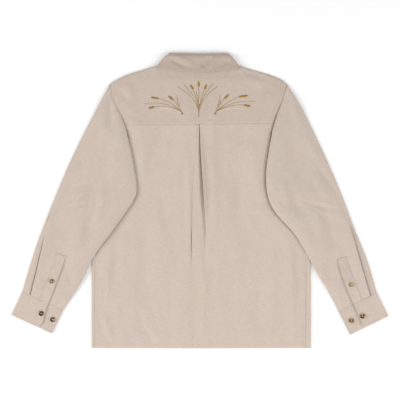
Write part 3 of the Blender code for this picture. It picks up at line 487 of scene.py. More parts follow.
deepest = min(height for _, height, _, _ in BODY_CREASES)
print("deepest crease of the back: %.1f mm" % (CREASE_DEPTH * deepest))

# %% [markdown]
# ## From a control grid to cloth
# A panel is a grid of control points that follows its edges and folds. A finer grid is passed smoothly
# through them, first down the columns and then along the rows. The rule for the slopes never overshoots,
# so a tight fold next to a wide flat area doesn't make the flat area bulge. The open sheet then gets a
# Solidify modifier for its thickness and a small Bevel for its edges.


# %% A finer grid through control points
def smooth_through(points, counts):
    """Points on smooth curves through rows of points, with counts[i] steps from row i to the next."""
    spans = np.maximum(np.linalg.norm(np.diff(points[..., :3], axis=0), axis=-1, keepdims=True), 1e-6)
    slopes = np.diff(points, axis=0) / spans
    before, after = slopes[:-1], slopes[1:]
    weight_a = 2 * spans[1:] + spans[:-1]
    weight_b = spans[1:] + 2 * spans[:-1]
    same = before * after > 1e-12
    safe_a = np.where(same, before, 1.0)
    safe_b = np.where(same, after, 1.0)
    middle = np.where(same, (weight_a + weight_b) / (weight_a / safe_a + weight_b / safe_b), 0.0)
    slope = np.concatenate([slopes[:1], middle, slopes[-1:]])
    fine = []
    for i, count in enumerate(counts):
        for t in np.arange(count) / count:
            fine.append(points[i] * (2 * t ** 3 - 3 * t ** 2 + 1)
                        + spans[i] * slope[i] * (t ** 3 - 2 * t ** 2 + t)
                        + points[i + 1] * (3 * t ** 2 - 2 * t ** 3)
                        + spans[i] * slope[i + 1] * (t ** 3 - t ** 2))
    fine.append(points[-1])
    return np.array(fine)


def refine(grid, step):
    """step is a spacing in mm, or the number of steps down and across between two control points, for
    grids that share an edge."""
    grid = np.array(grid, dtype=float)
    for axis in (0, 1):
        grid = np.moveaxis(grid, axis, 0)
        longest = np.linalg.norm(np.diff(grid[..., :3], axis=0), axis=-1).max(axis=1)
        if isinstance(step, tuple):
            counts = [step[axis]] * len(longest)
        else:
            counts = [2 if span < 1.5 else math.ceil(span / step) for span in longest]
        grid = np.moveaxis(smooth_through(grid, counts), 0, axis)
    return grid


def at(side, x, y, z, free=0.0):
    """A control point from a distance outward. free is how far creases move it: 1 on the top layer."""
    return (side * x, y, z, free)


# %% Meshes and objects
def in_metres(x, y, z=0.0):
    """A place on the plan, in mm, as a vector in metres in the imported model's frame."""
    return Vector(((x + FRAME_SHIFT[0]) * MM, (y + FRAME_SHIFT[1]) * MM, z * MM))


def mesh_of(bm, name):
    """Turns a bmesh into a mesh and frees it."""
    mesh = bpy.data.meshes.new(name)
    bm.to_mesh(mesh)
    bm.free()
    return mesh


def put(name, data):
    """A new object in the scene. It stays at the origin if its place is in its mesh."""
    made = bpy.data.objects.new(name, data)
    bpy.context.scene.collection.objects.link(made)
    return made


# %% Cloth shells
shells = {}
WELD = 2e-6
EDGE_ROUNDING = 0.2


def lay(name, node, grids, grain, finish, shape=None, step=4.0, cloth=CLOTH):
    """Lays a sheet of cloth on its solid. grain is the plan direction of its lengthwise threads, and
    shape adds the relief. step is as in refine, or a list with one for each grid."""
    bm = bmesh.new()
    threads = bm.loops.layers.uv.new("weave")
    grain = np.array(grain) / np.linalg.norm(grain)
    for index, control in enumerate(grids):
        fine = refine(control, step[index] if isinstance(step, list) else step)
        if shape is not None:
            fine[..., 2] += shape(fine[..., 0], fine[..., 1], fine[..., 3])
        across = np.linalg.norm(np.diff(fine[..., :3], axis=1), axis=-1)
        across = np.concatenate([np.zeros((len(fine), 1)), np.cumsum(across, axis=1)], axis=1)
        across -= across[:, [across.shape[1] // 2]]
        down = fine[..., 0] * grain[0] + fine[..., 1] * grain[1]
        rows, columns = fine.shape[:2]
        made = bmesh.ops.create_grid(bm, x_segments=columns - 1, y_segments=rows - 1, size=1.0)
        flat = fine.reshape(-1, 4)
        cloth_place = {}
        for vert, point, u, v in zip(made["verts"], flat, across.ravel(), down.ravel()):
            vert.co = in_metres(*point[:3])
            cloth_place[vert] = (u * MM, v * MM)
        for face in {face for vert in made["verts"] for face in vert.link_faces}:
            for loop in face.loops:
                loop[threads].uv = cloth_place[loop.vert]
    bmesh.ops.remove_doubles(bm, verts=bm.verts, dist=WELD)
    bmesh.ops.recalc_face_normals(bm, faces=bm.faces)
    mesh = mesh_of(bm, name)
    mesh.shade_smooth()
    mesh.materials.append(finish)
    shell = put(name, mesh)
    thicken = shell.modifiers.new("Cloth", "SOLIDIFY")
    thicken.thickness = cloth * MM
    thicken.offset = 0.0
    thicken.use_quality_normals = True
    soften = shell.modifiers.new("Edges", "BEVEL")
    soften.width = EDGE_ROUNDING * MM
    soften.segments = 1
    soften.limit_method = "ANGLE"
    soften.angle_limit = math.radians(60)
    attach(shell, "root")
    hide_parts(node)
    shells[name] = shell
    area = sum(face.area for face in mesh.polygons)
    print("%s: %d faces, %.4f square metres of cloth" % (name, len(mesh.polygons), area))


# %% [markdown]
# ## Chambray
# Chambray is a plain weave of coloured lengthwise threads and white crosswise ones. Close up it is a tiny
# checker of the two, and from further off it is a soft mottled mix with thin, uneven threads (slubs)
# running both ways. One node group makes that from the cloth's own coordinates, which are in metres
# along its threads, so the weave follows every panel and fold. Each finish then sets its own colours.


# %% The weave as a node group
THREADS_PER_METRE = 2200.0
# Bumps per metre across and along the threads, detail of the noise, and its share of the mottle.
SLUBS = [
    ((70.0, 560.0, 1.0), 2.0, 0.62), ((700.0, 55.0, 1.0), 2.0, 0.3),
    ((190.0, 260.0, 1.0), 3.0, 0.3), ((34.0, 9.0, 1.0), 2.0, 0.22),
]
CHECKER_SHARE = 0.32
MOTTLE_HEIGHT = 1.6
SOCKETS = [
    ("Threads", "INPUT", "NodeSocketVector"), ("Coloured thread", "INPUT", "NodeSocketColor"),
    ("White thread", "INPUT", "NodeSocketColor"), ("Color", "OUTPUT", "NodeSocketColor"),
    ("Height", "OUTPUT", "NodeSocketFloat"),
]


def dial(node, values):
    """Sets the values of a node's sockets by their names."""
    for socket, value in values.items():
        node.inputs[socket].default_value = value


def chambray_group():
    group = bpy.data.node_groups.new("Chambray weave", "ShaderNodeTree")
    for name, way, kind in SOCKETS:
        group.interface.new_socket(name=name, in_out=way, socket_type=kind)
    nodes, links = group.nodes, group.links
    given = nodes.new("NodeGroupInput")
    result = nodes.new("NodeGroupOutput")

    def maths(operation, first, second):
        node = nodes.new("ShaderNodeMath")
        node.operation = operation
        for socket, value in zip(node.inputs, (first, second)):
            if isinstance(value, float):
                socket.default_value = value
            else:
                links.new(value, socket)
        return node.outputs[0]

    def slub(scale, detail):
        stretch = nodes.new("ShaderNodeVectorMath")
        stretch.operation = "MULTIPLY"
        stretch.inputs[1].default_value = scale
        links.new(given.outputs["Threads"], stretch.inputs[0])
        texture = nodes.new("ShaderNodeTexNoise")
        dial(texture, {"Scale": 1.0, "Detail": detail, "Roughness": 0.6})
        links.new(stretch.outputs[0], texture.inputs["Vector"])
        return maths("SUBTRACT", texture.outputs["Fac"], 0.5)

    parts = nodes.new("ShaderNodeSeparateXYZ")
    links.new(given.outputs["Threads"], parts.inputs[0])
    waves = []
    for k in (0, 1):
        turns = maths("MULTIPLY", parts.outputs[k], THREADS_PER_METRE * math.pi)
        waves.append(maths("SINE", turns, 0.0))
    checker = maths("MULTIPLY", waves[0], waves[1])
    mottle = 0.0
    for scale, detail, weight in SLUBS:
        mottle = maths("ADD", mottle, maths("MULTIPLY", slub(scale, detail), weight))
    share = maths("ADD", maths("MULTIPLY", checker, CHECKER_SHARE), maths("ADD", mottle, 0.5))
    blend = nodes.new("ShaderNodeMix")
    blend.data_type = "RGBA"
    links.new(share, blend.inputs["Factor"])
    links.new(given.outputs["Coloured thread"], blend.inputs[6])
    links.new(given.outputs["White thread"], blend.inputs[7])
    links.new(blend.outputs[2], result.inputs["Color"])
    height = maths("ADD", maths("ABSOLUTE", checker, 0.0), maths("MULTIPLY", mottle, MOTTLE_HEIGHT))
    links.new(height, result.inputs["Height"])
    return group


CHAMBRAY = chambray_group()
print("nodes in the weave:", len(CHAMBRAY.nodes))


# %% Finishes of the cloth
def new_finish(name):
    """A new material with its nodes, its links and its shader."""
    made = bpy.data.materials.new(name)
    made.use_nodes = True
    tree = made.node_tree
    return made, tree.nodes, tree.links, tree.nodes["Principled BSDF"]


def chambray(name, coloured, white):
    made, nodes, links, shader = new_finish(name)
    weave = nodes.new("ShaderNodeGroup")
    weave.node_tree = CHAMBRAY
    threads = nodes.new("ShaderNodeUVMap")
    threads.uv_map = "weave"
    links.new(threads.outputs["UV"], weave.inputs["Threads"])
    dial(weave, {"Coloured thread": (*coloured, 1.0), "White thread": (*white, 1.0)})
    links.new(weave.outputs["Color"], shader.inputs["Base Color"])
    bump = nodes.new("ShaderNodeBump")
    dial(bump, {"Strength": 0.35, "Distance": 0.12 * MM})
    links.new(weave.outputs["Height"], bump.inputs["Height"])
    links.new(bump.outputs["Normal"], shader.inputs["Normal"])
    dial(shader, {"Roughness": 0.88, "Sheen Weight": 0.12, "Sheen Roughness": 0.5,
                  "Specular IOR Level": 0.25})
    return made


BODY_CLOTH = chambray("chambray_body", (0.462, 0.373, 0.307), (0.673, 0.578, 0.505))
SLEEVE_CLOTH = chambray("chambray_sleeve", (0.455, 0.367, 0.302), (0.664, 0.570, 0.502))
# The yoke's and the collar's threads are darker than the body's. This is painted shade that darkens the
# top of the shirt, not a different cloth.
YOKE_CLOTH_PAINTED_SHADE = chambray("chambray_yoke_painted_shade", (0.443, 0.352, 0.291), (0.647, 0.550, 0.480))
COLLAR_CLOTH_PAINTED_SHADE = chambray("chambray_collar_painted_shade", (0.380, 0.298, 0.243), (0.575, 0.480, 0.414))
print("finishes:", len(bpy.data.materials))

# %% [markdown]
# ## How the surface moves
# The back is held down along its seams and by the sleeves that lie on it, and swells a little between
# them. Beside each armhole it turns down into the seam, which shows as a soft dark band, wider on the
# wearer's right. All of that is one function of the plan, so panels that meet at a seam move together.


# %% Relief of the body
SLEEVE_LINE = {}
for side, _ in SIDES:
    arm = ARMHOLE_CURVE[side]
    SLEEVE_LINE[side] = np.vstack([arm[arm[:, 1] > NOTCH_Y], spline(SLEEVE_INNER[side], 10)])
# The body rolls down into the wearer's right armhole: height up the shirt, width of the roll.
ARMHOLE_ROLL = [(281.0, 3.0), (240.0, 9.0), (194.0, 14.0), (130.0, 16.0), (60.0, 14.0), (20.0, 10.0),
                (0.0, 7.0), (-20.0, 9.0), (-50.0, 7.0), (-80.0, 4.0), (-130.0, 2.0)]
ROLL_STEEPNESS = {-1: 0.1, 1: 0.52}
ROLL_ROUNDNESS = 1.2
ROLL_FADE = 60.0
# How far a sleeve stands above the body along its edge: height up the shirt, rise.
SLEEVE_STEP_UP = {
    -1: [(281.0, 0.8), (240.0, 2.0), (194.0, 2.8), (130.0, 3.0), (60.0, 2.6), (0.0, 4.4), (-50.0, 5.2),
         (-95.0, 4.4), (-140.0, 1.8)],
    1: [(281.0, 1.2), (240.0, 3.4), (194.0, 5.6), (130.0, 6.4), (60.0, 6.2), (20.0, 5.4), (0.0, 4.6),
        (-25.0, 5.4), (-55.0, 4.8), (-85.0, 3.2), (-140.0, 1.4)],
}
# The swell of loose cloth, the room under it, and its crumples: height, size and place in the noise.
SWELL = 2.2
BODY_ROOM = 0.8
BODY_CRUMPLES = [(0.35, 46.0, 3.0), (0.12, 13.0, 8.0)]
TUCK = 1.1


def from_table(y, table):
    """The second column at heights that lie between those of the first."""
    table = np.array(table)
    return np.interp(-y, -table[:, 0], table[:, 1])


def crumpled(x, y, sizes):
    return sum(height * crumple(x, y, size, seed) for height, size, seed in sizes)


def clear_of_sleeve(side, x, y):
    """Distance of plan points from the edge of a sleeve, and 0 under it."""
    line = SLEEVE_LINE[side]
    away = distance_to(line[::3], side * x, y)
    return np.where(side * x > x_at(line, y), 0.0, away)


def body_relief(x, y):
    relief = creased(x, y, BODY_CREASES) + creased(x, y, YOKE_CREASES)
    relief = relief + crumpled(x, y, BODY_CRUMPLES) + SWELL
    for side, _ in SIDES:
        clear = clear_of_sleeve(side, x, y)
        relief = relief * ease(clear, 4.0, 30.0)
        width = from_table(y, ARMHOLE_ROLL)
        roll = 1.0 - (1.0 - np.clip(clear / width, 0.0, 1.0)) ** ROLL_ROUNDNESS
        roll = roll * (1.0 - ease(clear, width, width + ROLL_FADE))
        relief = relief + ROLL_STEEPNESS[side] * width * roll
        seam = x_at(SIDE_CURVE[side], y) - SIDE_SEAM_IN[side] - side * x
        relief = np.where(y < 0.0, relief * ease(seam, 0.0, 34.0), relief)
        tucked = np.exp(-(clear / 3.5) ** 2) * (1.0 - ease(y, 150.0, 250.0)) * (side * x > 0.0)
        relief = relief - TUCK * tucked
    under_leaf = ease(y, 292.0, 306.0) * (1.0 - ease(abs(x), 92.0, 112.0))
    relief = np.where(relief > 0.0, relief * (1.0 - under_leaf), relief)
    relief = relief * (1.0 - 0.6 * ease(y, -318.0, -353.0))
    return held_up(relief, BODY_ROOM)


def body_shape(x, y, free):
    return free * body_relief(x, y)


spot = np.array([120.0])
print("the back swells %.1f mm at one side of its middle" % body_relief(spot, np.array([-60.0]))[0])

# %% [markdown]
# ## Back panel
# The back hangs from the yoke with an inverted box pleat: two knife folds face each other at the middle
# and let the cloth open out below. Each fold is a row of points that goes round two tight turns. Lower
# down the folds were pressed flat, so the turns open out and the cloth becomes a single layer.


# %% Folds
FLAT_FOLD_STEP = 1.6


def s_fold(edge, depth, formed):
    """Across and up, from the low layer round two turns to the top layer, for one knife fold."""
    near = edge + WALL / 2 + PLEAT_RADIUS
    points = []
    for k in range(8):
        angle = math.radians(-90 + 60 * (k % 4))
        if k < 4:
            across = near + depth + PLEAT_RADIUS * math.cos(angle)
            up = PLEAT_RADIUS * (1 + math.sin(angle))
        else:
            across = near - PLEAT_RADIUS * math.cos(angle)
            up = PLEAT_RADIUS * (3 + math.sin(angle))
        flat = near + (k - 3.5) * FLAT_FOLD_STEP
        points.append((mix(flat, across, formed), up * formed))
    return points


# Out and up, in fold radii, round the outside of a fold from its low side to its high side.
TURN = [(math.cos(math.radians(a)), math.sin(math.radians(a))) for a in (-90, -30, 30, 90)]
print("points round a turn:", len(TURN), "round a knife fold:", len(s_fold(0.0, 10.0, 1.0)))


# %% Back panel
# Shares of the way in from a side.
BACK_SHARES = (0.0, 0.17, 0.35, 0.53, 0.7, 0.85)
# Along the floor of the pleat: share, lift, how far creases move it.
PLEAT_FLOOR = [(0.0, 1.0, 1.0), (0.38, 0.86, 0.9), (0.7, 0.62, 0.6), (0.97, 0.0, 0.1)]


def body_edge_x(side, y):
    if y >= 0.0:
        return x_at(ARMHOLE_CURVE[side], y)
    return x_at(SIDE_CURVE[side], y) - mix(2.5, SIDE_SEAM_IN[side], ease(-y, 0.0, 110.0))


def seam_y(x, y):
    """The yoke seam runs slightly uphill to the right, and the rows next to it follow."""
    return y + SEAM_TILT * x * ease(y, 110.0, YOKE_SEAM_Y)


def armhole_point(side, y):
    x = x_at(ARMHOLE_CURVE[side], y)
    for _ in range(3):
        x = x_at(ARMHOLE_CURVE[side], seam_y(side * x, y))
    return np.array([x, seam_y(side * x, y)])


def back_row(y):
    left, right, depth, formed = pleat_at(y)
    halves = []
    for side, edge in ((-1, left), (1, right)):
        fold = s_fold(0.0, depth, formed)
        outer = body_edge_x(side, y) if y < 0.0 else armhole_point(side, y)[0]
        inner = side * edge + fold[-1][0]
        half = []
        for t in BACK_SHARES:
            x = mix(outer, inner, t)
            level = back_level(side * x, y) + pleat_lift(side * x, y)
            half.append(at(side, x, seam_y(side * x, y), level, 1.0))
        for index, (across, up) in reversed(list(enumerate(fold))):
            x = side * edge + across
            free = mix(1.0, 0.1 + 0.9 * index / (len(fold) - 1), formed)
            half.append(at(side, x, seam_y(side * x, y), back_level(side * x, y) + up, free))
        halves.append(half)
    centre = []
    for share, lift, loose in PLEAT_FLOOR:
        x = mix(left + min(1.6, (right - left) / 4), right - WALL / 2, share)
        lift = lift * PLEAT_STACK * formed
        centre.append(at(1, x, seam_y(x, y), back_level(x, y) + lift, mix(1.0, loose, formed)))
    return halves[0] + centre + halves[1][::-1]


UP_THE_SHIRT = (0, 1)
ROUND_THE_NECK = (1, 0)
back_ys = BACK_ROWS + ARMHOLE_LOW_YS[1:-1] + list(np.linspace(NOTCH_Y, YOKE_SEAM_Y, NOTCH_ROWS + 1))
back_grid = [back_row(y) for y in back_ys]
lay("back_cloth", "back_panel", [back_grid], UP_THE_SHIRT, BODY_CLOTH, body_shape)


# %% [markdown]
# ## Yoke
# The yoke is one piece across the shoulders. It turns over both shoulder lines and ends on the front,
# which is why the shirt has no seam on top of the shoulder. Its surface is stretched between its four
# edges with a Coons patch, and the part that turns over follows the fold's half circle.


# %% Yoke
YOKE_WRAP = 10.0


def notch_points(side):
    return [armhole_point(side, y) for y in np.linspace(NOTCH_Y, YOKE_SEAM_Y, NOTCH_ROWS + 1)]


def yoke_side_points(side):
    corner = armhole_point(side, YOKE_SEAM_Y)
    ys = np.linspace(corner[1], SHOULDER[side][0][1], YOKE_ROWS + 1)
    return [np.array([x_at(ARMHOLE_CURVE[side], y), y]) for y in ys]


def shoulder_fold(side):
    line = evenly(spline(SHOULDER[side]), SHOULDER_STEPS)
    return line, pushed(line, -(WALL / 2 + FOLD_RADIUS))


def wrap_end(side, index, point, normal):
    end = point + normal * YOKE_WRAP
    if index == 0:
        return np.array([x_at(ARMHOLE_CURVE[side], end[1]) - SEAM_GAP, end[1]])
    return end


def shoulder_wrap(side, first_row):
    line, _ = shoulder_fold(side)
    normals = pushed(line, -1.0) - line
    rows = []
    for index, (point, normal) in enumerate(zip(line, normals)):
        low = front_level(side * point[0], point[1])
        radius = (yoke_level(side * point[0], point[1]) - low) / 2
        row = [first_row[index]]
        for out, up in TURN[::-1][1:]:
            shift = normal * (WALL / 2 + radius * (1 - out))
            row.append(at(side, *(point + shift), low + radius * (1 + up)))
        end = wrap_end(side, index, point, normal)
        row.append(at(side, *end, front_level(side * end[0], end[1])))
        rows.append(row)
    return rows


yoke_grids = []
for side, _ in SIDES:
    _, flat_end = shoulder_fold(side)
    outer = np.array(yoke_side_points(side))
    outer[-1] = flat_end[0]
    neck = evenly(spline(BACK_NECK[side]), NECK_STEPS)[1:]
    top = np.vstack([flat_end, neck])
    middle = [side * CENTRE_X, YOKE_SEAM_Y + SEAM_TILT * CENTRE_X]
    bottom = np.linspace(outer[0], middle, len(top))
    rows = coons(bottom, top, outer, np.linspace(bottom[-1], top[-1], YOKE_ROWS + 1))
    half = []
    for index, row in enumerate(rows):
        free = 1.0 if index < YOKE_ROWS else 0.35
        half.append([at(side, *p, yoke_level(side * p[0], p[1]), free) for p in row])
    yoke_grids += [half, shoulder_wrap(side, half[-1])]
lay("yoke_cloth", "back_yoke", yoke_grids, UP_THE_SHIRT, YOKE_CLOTH_PAINTED_SHADE, body_shape,
    step=[(6, 4), (4, 2)] * 2)

# %% [markdown]
# ## Fronts
# The fronts are the lowest layer. Each one goes from beside the button band out to the side, turns round
# there and ends at the side seam, which lies a little way in on the back. Nothing shows of them from
# above but that turned strip, and from below they lie flat, apart from a few shallow hollows.


# %% Hollows of the lowest layers
def hollow_shape(x, y, free):
    broad = 0.45 * ease(crumple(x, y, 58.0, 21.0), 0.05, 0.6)
    small = 0.12 * ease(crumple(x, y, 17.0, 5.0), 0.1, 0.7)
    return (1.0 - free) * (broad + small)


# %% Fronts and the button band
# The top of a front starts just past the edge of the yoke's wrap, as a share of the wrap.
PAST_WRAP = 1.03


def front_outer_points(side):
    low = [np.array([x_at(SIDE_CURVE[side], y) - WALL / 2 - FOLD_RADIUS, y]) for y in BACK_ROWS]
    high = [np.array([x_at(ARMHOLE_CURVE[side], y), y]) for y in FRONT_ARM_YS[1:]]
    line, _ = shoulder_fold(side)
    normal = (pushed(line, -1.0) - line)[0]
    high[-1] = wrap_end(side, 0, line[0], normal * PAST_WRAP)
    return np.array(low + high)


def front_row(outer, inner, centre):
    wanted = np.maximum(centre + np.array([62.0, 40.0, 20.5]), inner[0] + np.array([24.0, 14.0, 5.0]))
    late = (outer[0] - wanted) / (outer[0] - inner[0])
    return [mix(outer, inner, t) for t in (0.0, late[0] / 4, late[0] / 2, late[0] * 0.75, *late, 1.0)]


def along_shoulder(side, row):
    """The top row of a front follows the edge of the yoke that comes round the shoulder."""
    line, _ = shoulder_fold(side)
    normals = (pushed(line, -1.0) - line) * PAST_WRAP
    edge = np.array([wrap_end(side, index, p, n) for index, (p, n) in enumerate(zip(line, normals))])
    edge[-1] = row[-1]
    shares = [np.linalg.norm(p - row[0]) / np.linalg.norm(row[-1] - row[0]) for p in row]
    return list(along(edge, shares))


def lay_front(side, word, inner_x, level):
    inner = [np.array([inner_x, y]) for y in BACK_ROWS + FRONT_INNER_YS[1:]]
    inner += [np.array(p) for p in FRONT_NECK[side][1:]]
    rows = []
    for a, b in zip(front_outer_points(side), inner):
        row = front_row(a, b, side * CENTRE_X)
        if len(rows) == len(inner) - 1:
            row = along_shoulder(side, row)
        rows.append([at(side, *p, level(side * p[0], p[1])) for p in row])
    wrap = []
    for index, y in enumerate(BACK_ROWS):
        edge = x_at(SIDE_CURVE[side], y)
        strip = [rows[index][0]]
        for out, up in TURN[1:]:
            level = FLOOR_LEVEL + FOLD_RADIUS * (1 + up)
            strip.append(at(side, edge - WALL / 2 - FOLD_RADIUS * (1 - out), y, level, 1.0))
        strip.append(at(side, body_edge_x(side, y) - 0.6, y, EDGE_LEVEL - 0.3, 1.0))
        wrap.append(strip)
    lay("front_cloth_" + word, "front_" + word, [rows, wrap], UP_THE_SHIRT, BODY_CLOTH, hollow_shape,
        step=[(8, 7), (8, 2)])


STIFF_CLOTH = 0.9
BAND_SIDES = (CENTRE_X - PLACKET_WIDTH / 2, CENTRE_X + PLACKET_WIDTH / 2)
lay_front(1, "right", BAND_SIDES[1] + SEAM_GAP, front_level)
lay_front(-1, "left", 1.0 - BAND_SIDES[1], under_front_level)
band_rows = []
for y in np.linspace(HEM_Y, NECK_BASE_Y - SEAM_GAP, 13):
    band_rows.append([at(1, x, y, FLOOR_LEVEL + BUTTON_LIFT) for x in np.linspace(*BAND_SIDES, 5)])
lay("button_band_cloth", "front_placket", [band_rows], UP_THE_SHIRT, BODY_CLOTH, cloth=STIFF_CLOTH)

# %% [markdown]
# ## Sleeves
# A sleeve lying flat is a tube with an upper and a lower layer. The upper one starts at the armhole seam.
# The lower one is split by the underarm: part of it lies on the back, and the rest on the table. A knife
# pleat takes in its width above the cuff. One grid goes all round the tube, row by row down the arm.


# %% Sleeves
def sleeve_edges(side):
    outer_curve = spline(SLEEVE_OUTER[side])
    inner_curve = spline(SLEEVE_INNER[side])
    start = 2.2 / np.sum(np.linalg.norm(np.diff(outer_curve, axis=0), axis=1))
    outer_at = [mix(start, 1.0, row[0]) for row in SLEEVE_ROWS]
    inner_at = [row[1] for row in SLEEVE_ROWS]
    outer = along(outer_curve, outer_at)
    inner = along(inner_curve, inner_at)
    return (outer, along(pushed(outer_curve, 1.0), outer_at) - outer,
            inner, along(pushed(inner_curve, -1.0), inner_at) - inner)


def sleeve_top_row(side, a, b, grouped):
    """One row of the top layer below the split: points with their height, or None on the free cloth."""
    width = np.linalg.norm(b - a)
    start, end = (np.array(p) for p in SLEEVE_PLEAT[side])
    across = (b - a) / width
    tangent = (end - start) / np.linalg.norm(end - start)
    gap = start - a
    edge = (gap[0] * tangent[1] - gap[1] * tangent[0]) / (across[0] * tangent[1] - across[1] * tangent[0])
    edge = max(edge, 6.0)
    _, depth, formed = sleeve_pleat_at(side, *(a + across * edge))
    fold = s_fold(edge, depth, formed)
    free = [mix(max(fold[-1][0], edge + 12.0), width, t) for t in (0.18, 0.44, 0.72, 1.0)]
    places = [0.0, edge - 3.5, edge - 0.4] + [f[0] for f in fold] + free
    rises = [0.0, -0.2 * formed, -1.7 * formed] + [f[1] for f in fold] + [None] * len(free)
    even = np.linspace(0.0, width, len(places))
    return [(a + across * mix(e, p, grouped), rise) for e, p, rise in zip(even, places, rises)]


def sleeve_rows(side):
    outer, outer_normal, inner, inner_normal = sleeve_edges(side)
    heights = [(sleeve_bottom_level(side, *p), sleeve_top_level(side, *p)) for p in inner]
    flat_outer = outer + outer_normal * (WALL / 2 + FOLD_RADIUS)
    flat_inner = [p + n * (WALL / 2 + (high - low) / 2)
                  for p, n, (low, high) in zip(inner, inner_normal, heights)]
    seam = np.array(yoke_side_points(side)[::-1] + notch_points(side)[::-1][1:])
    seam[0] = flat_outer[0]
    seam[-1] = flat_inner[0]
    start = np.array([seam[0]] + [p for a, b in zip(seam[:-1], seam[1:]) for p in ((a + b) / 2, b)])
    split = SPLIT_ROW
    cross = np.linspace(flat_outer[split], flat_inner[split], len(start))
    top = coons(start, cross, flat_outer[:split + 1], flat_inner[:split + 1])
    top = [[(p, 0.0) for p in row] for row in top]
    for i in range(split + 1, len(SLEEVE_ROWS)):
        top.append(sleeve_top_row(side, flat_outer[i], flat_inner[i], ease(i, split, split + 3)))

    tip = np.array([SIDE_EDGE[side][0][0] + 0.9, 0.6])
    low_arm = np.array([[x_at(ARMHOLE_CURVE[side], y), y] for y in ARMHOLE_LOW_YS[::-1]])
    low_arm[0] = flat_inner[0]
    low_arm[-1] = tip
    over = coons(low_arm, np.linspace(flat_inner[split], tip, len(low_arm)), flat_inner[:split + 1],
                 [tip] * (split + 1))
    front_arm = np.array([[x_at(ARMHOLE_CURVE[side], y), y] for y in FRONT_ARM_YS])
    front_arm[0] = tip
    front_arm = np.vstack([front_arm, [flat_outer[0]]])
    under = coons(front_arm, np.linspace(tip, flat_outer[split], len(front_arm)), [tip] * (split + 1),
                  flat_outer[:split + 1])
    tip_share = np.linalg.norm(tip - cross[-1]) / np.linalg.norm(cross[0] - cross[-1])
    rows = []
    for i in range(len(SLEEVE_ROWS)):
        low, high = heights[i]
        row = []
        for p, up in top[i]:
            level = sleeve_surface(side, *p) if up is None else sleeve_top_level(side, *p) + up
            row.append(at(side, *p, level, 1.0))
        radius = (high - low) / 2
        for out, up in TURN[::-1][1:-1]:
            edge = inner[i] + inner_normal[i] * (WALL / 2 + radius * (1 - out))
            row.append(at(side, *edge, low + radius * (1 + up), 0.5 + up / 2))
        if i <= split:
            row += [at(side, *p, back_level(side * p[0], p[1]) + LAYER) for p in over[i]]
            row += [at(side, *p, FLOOR_LEVEL) for p in under[i]]
        else:
            done = (i - split) / (len(SLEEVE_ROWS) - 1 - split)
            share = mix(tip_share, 0.34, done)
            shares = [*np.linspace(0.0, share, len(low_arm)),
                      *np.linspace(share + 0.04 * min(3 * done, 1.0), 1.0, len(front_arm))]
            for t in shares:
                p = mix(np.array(flat_inner[i]), flat_outer[i], t)
                row.append(at(side, *p, sleeve_bottom_level(side, *p)))
        for out, up in TURN[1:]:
            edge = outer[i] + outer_normal[i] * (WALL / 2 + FOLD_RADIUS * (1 - out))
            row.append(at(side, *edge, FLOOR_LEVEL + FOLD_RADIUS * (1 + up), 0.5 + up / 2))
        row[-1] = row[0]
        rows.append(row)
    return rows


# %% Relief of the sleeves, down to the cuff
SLEEVE_CRUMPLES = [(0.35, 40.0, 12.0), (0.12, 12.0, 15.0)]
SLEEVE_ROOM = 0.35
SLEEVE_GRAIN = {side: (-178.0 * side, 455.0) for side, _ in SIDES}


def cuff_ends(side):
    """The two corners of the cuff at its seam and the two at its end."""
    seam = (np.array(SLEEVE_OUTER[side][-1]), np.array(SLEEVE_INNER[side][-1]))
    return seam, (np.array(CUFF_END[side][0]), np.array(CUFF_END[side][1]))


def cuff_direction(side):
    (seam_outer, _), (end_outer, _) = cuff_ends(side)
    return (end_outer - seam_outer) / np.linalg.norm(end_outer - seam_outer)


def sleeve_relief(side, x, y):
    inner = distance_to(SLEEVE_LINE[side][::3], side * x, y)
    outer = distance_to(spline(SLEEVE_OUTER[side], 8), side * x, y)
    relief = creased(side * x, y, SLEEVE_CREASES[side]) + crumpled(x, y, SLEEVE_CRUMPLES) + SWELL
    relief = relief * ease(np.minimum(inner, outer), 0.0, 20.0)
    rise = from_table(y, SLEEVE_STEP_UP[side])
    relief = relief + rise * ease(inner, 0.0, 4.5) * (1.0 - ease(inner, 14.0, 80.0))
    top, down = cuff_ends(side)[0][0], cuff_direction(side)
    above_cuff = -((side * x - top[0]) * down[0] + (y - top[1]) * down[1])
    relief = relief * (0.25 + 0.75 * ease(above_cuff, 0.0, 26.0))
    return held_up(relief, SLEEVE_ROOM)


def sleeve_shape(side):
    return lambda x, y, free: free * sleeve_relief(side, x, y)


for side, word in SIDES:
    lay("sleeve_cloth_" + word, "sleeve_" + word, [sleeve_rows(side)], SLEEVE_GRAIN[side],
        SLEEVE_CLOTH, sleeve_shape(side), step=5.0)

# %% [markdown]
# ## Sleeve plackets and cuffs
# The slit of the sleeve is bound by a straight strip, which buttons over it. The cuff is a stiff band
# that laps over its own end. Both are made from the outline of the sleeve, one layer further up.


# %% Sleeve plackets
# How far the lapping edges of a placket and a cuff stand off what they lie on.
LAP_STANDS = {-1: 2.1, 1: 3.2}


def placket_lines(side):
    """The lapping edge and the sewn edge of a sleeve placket, from its top to the cuff."""
    seam_outer = cuff_ends(side)[0][0]
    down = cuff_direction(side)
    inner = evenly(spline(SLIT[side]), 10)
    outer = pushed(inner, -SLEEVE_PLACKET_WIDTH)
    for line in (inner, outer):
        line[-1] = line[-1] - down * (np.dot(line[-1] - seam_outer, down) + SEAM_GAP)
    return inner, outer


for side, word in SIDES:
    stands = LAP_STANDS[side]
    lifts = [(0.0, stands), (0.2, stands - 0.3), (0.5, 1.6), (0.8, 0.9), (1.0, 0.5)]
    rows = []
    for index, (a, b) in enumerate(zip(*placket_lines(side))):
        row = []
        for t, lift in lifts:
            p = mix(a, b, t)
            lift = mix(0.5, lift, ease(index, -0.5, 3.0))
            row.append(at(side, *p, sleeve_surface(side, *p) + lift, 1.0))
        rows.append(row)
    lay("sleeve_placket_cloth_" + word, "sleeve_placket_" + word, [rows], SLEEVE_GRAIN[side],
        SLEEVE_CLOTH, sleeve_shape(side), step=3.0)


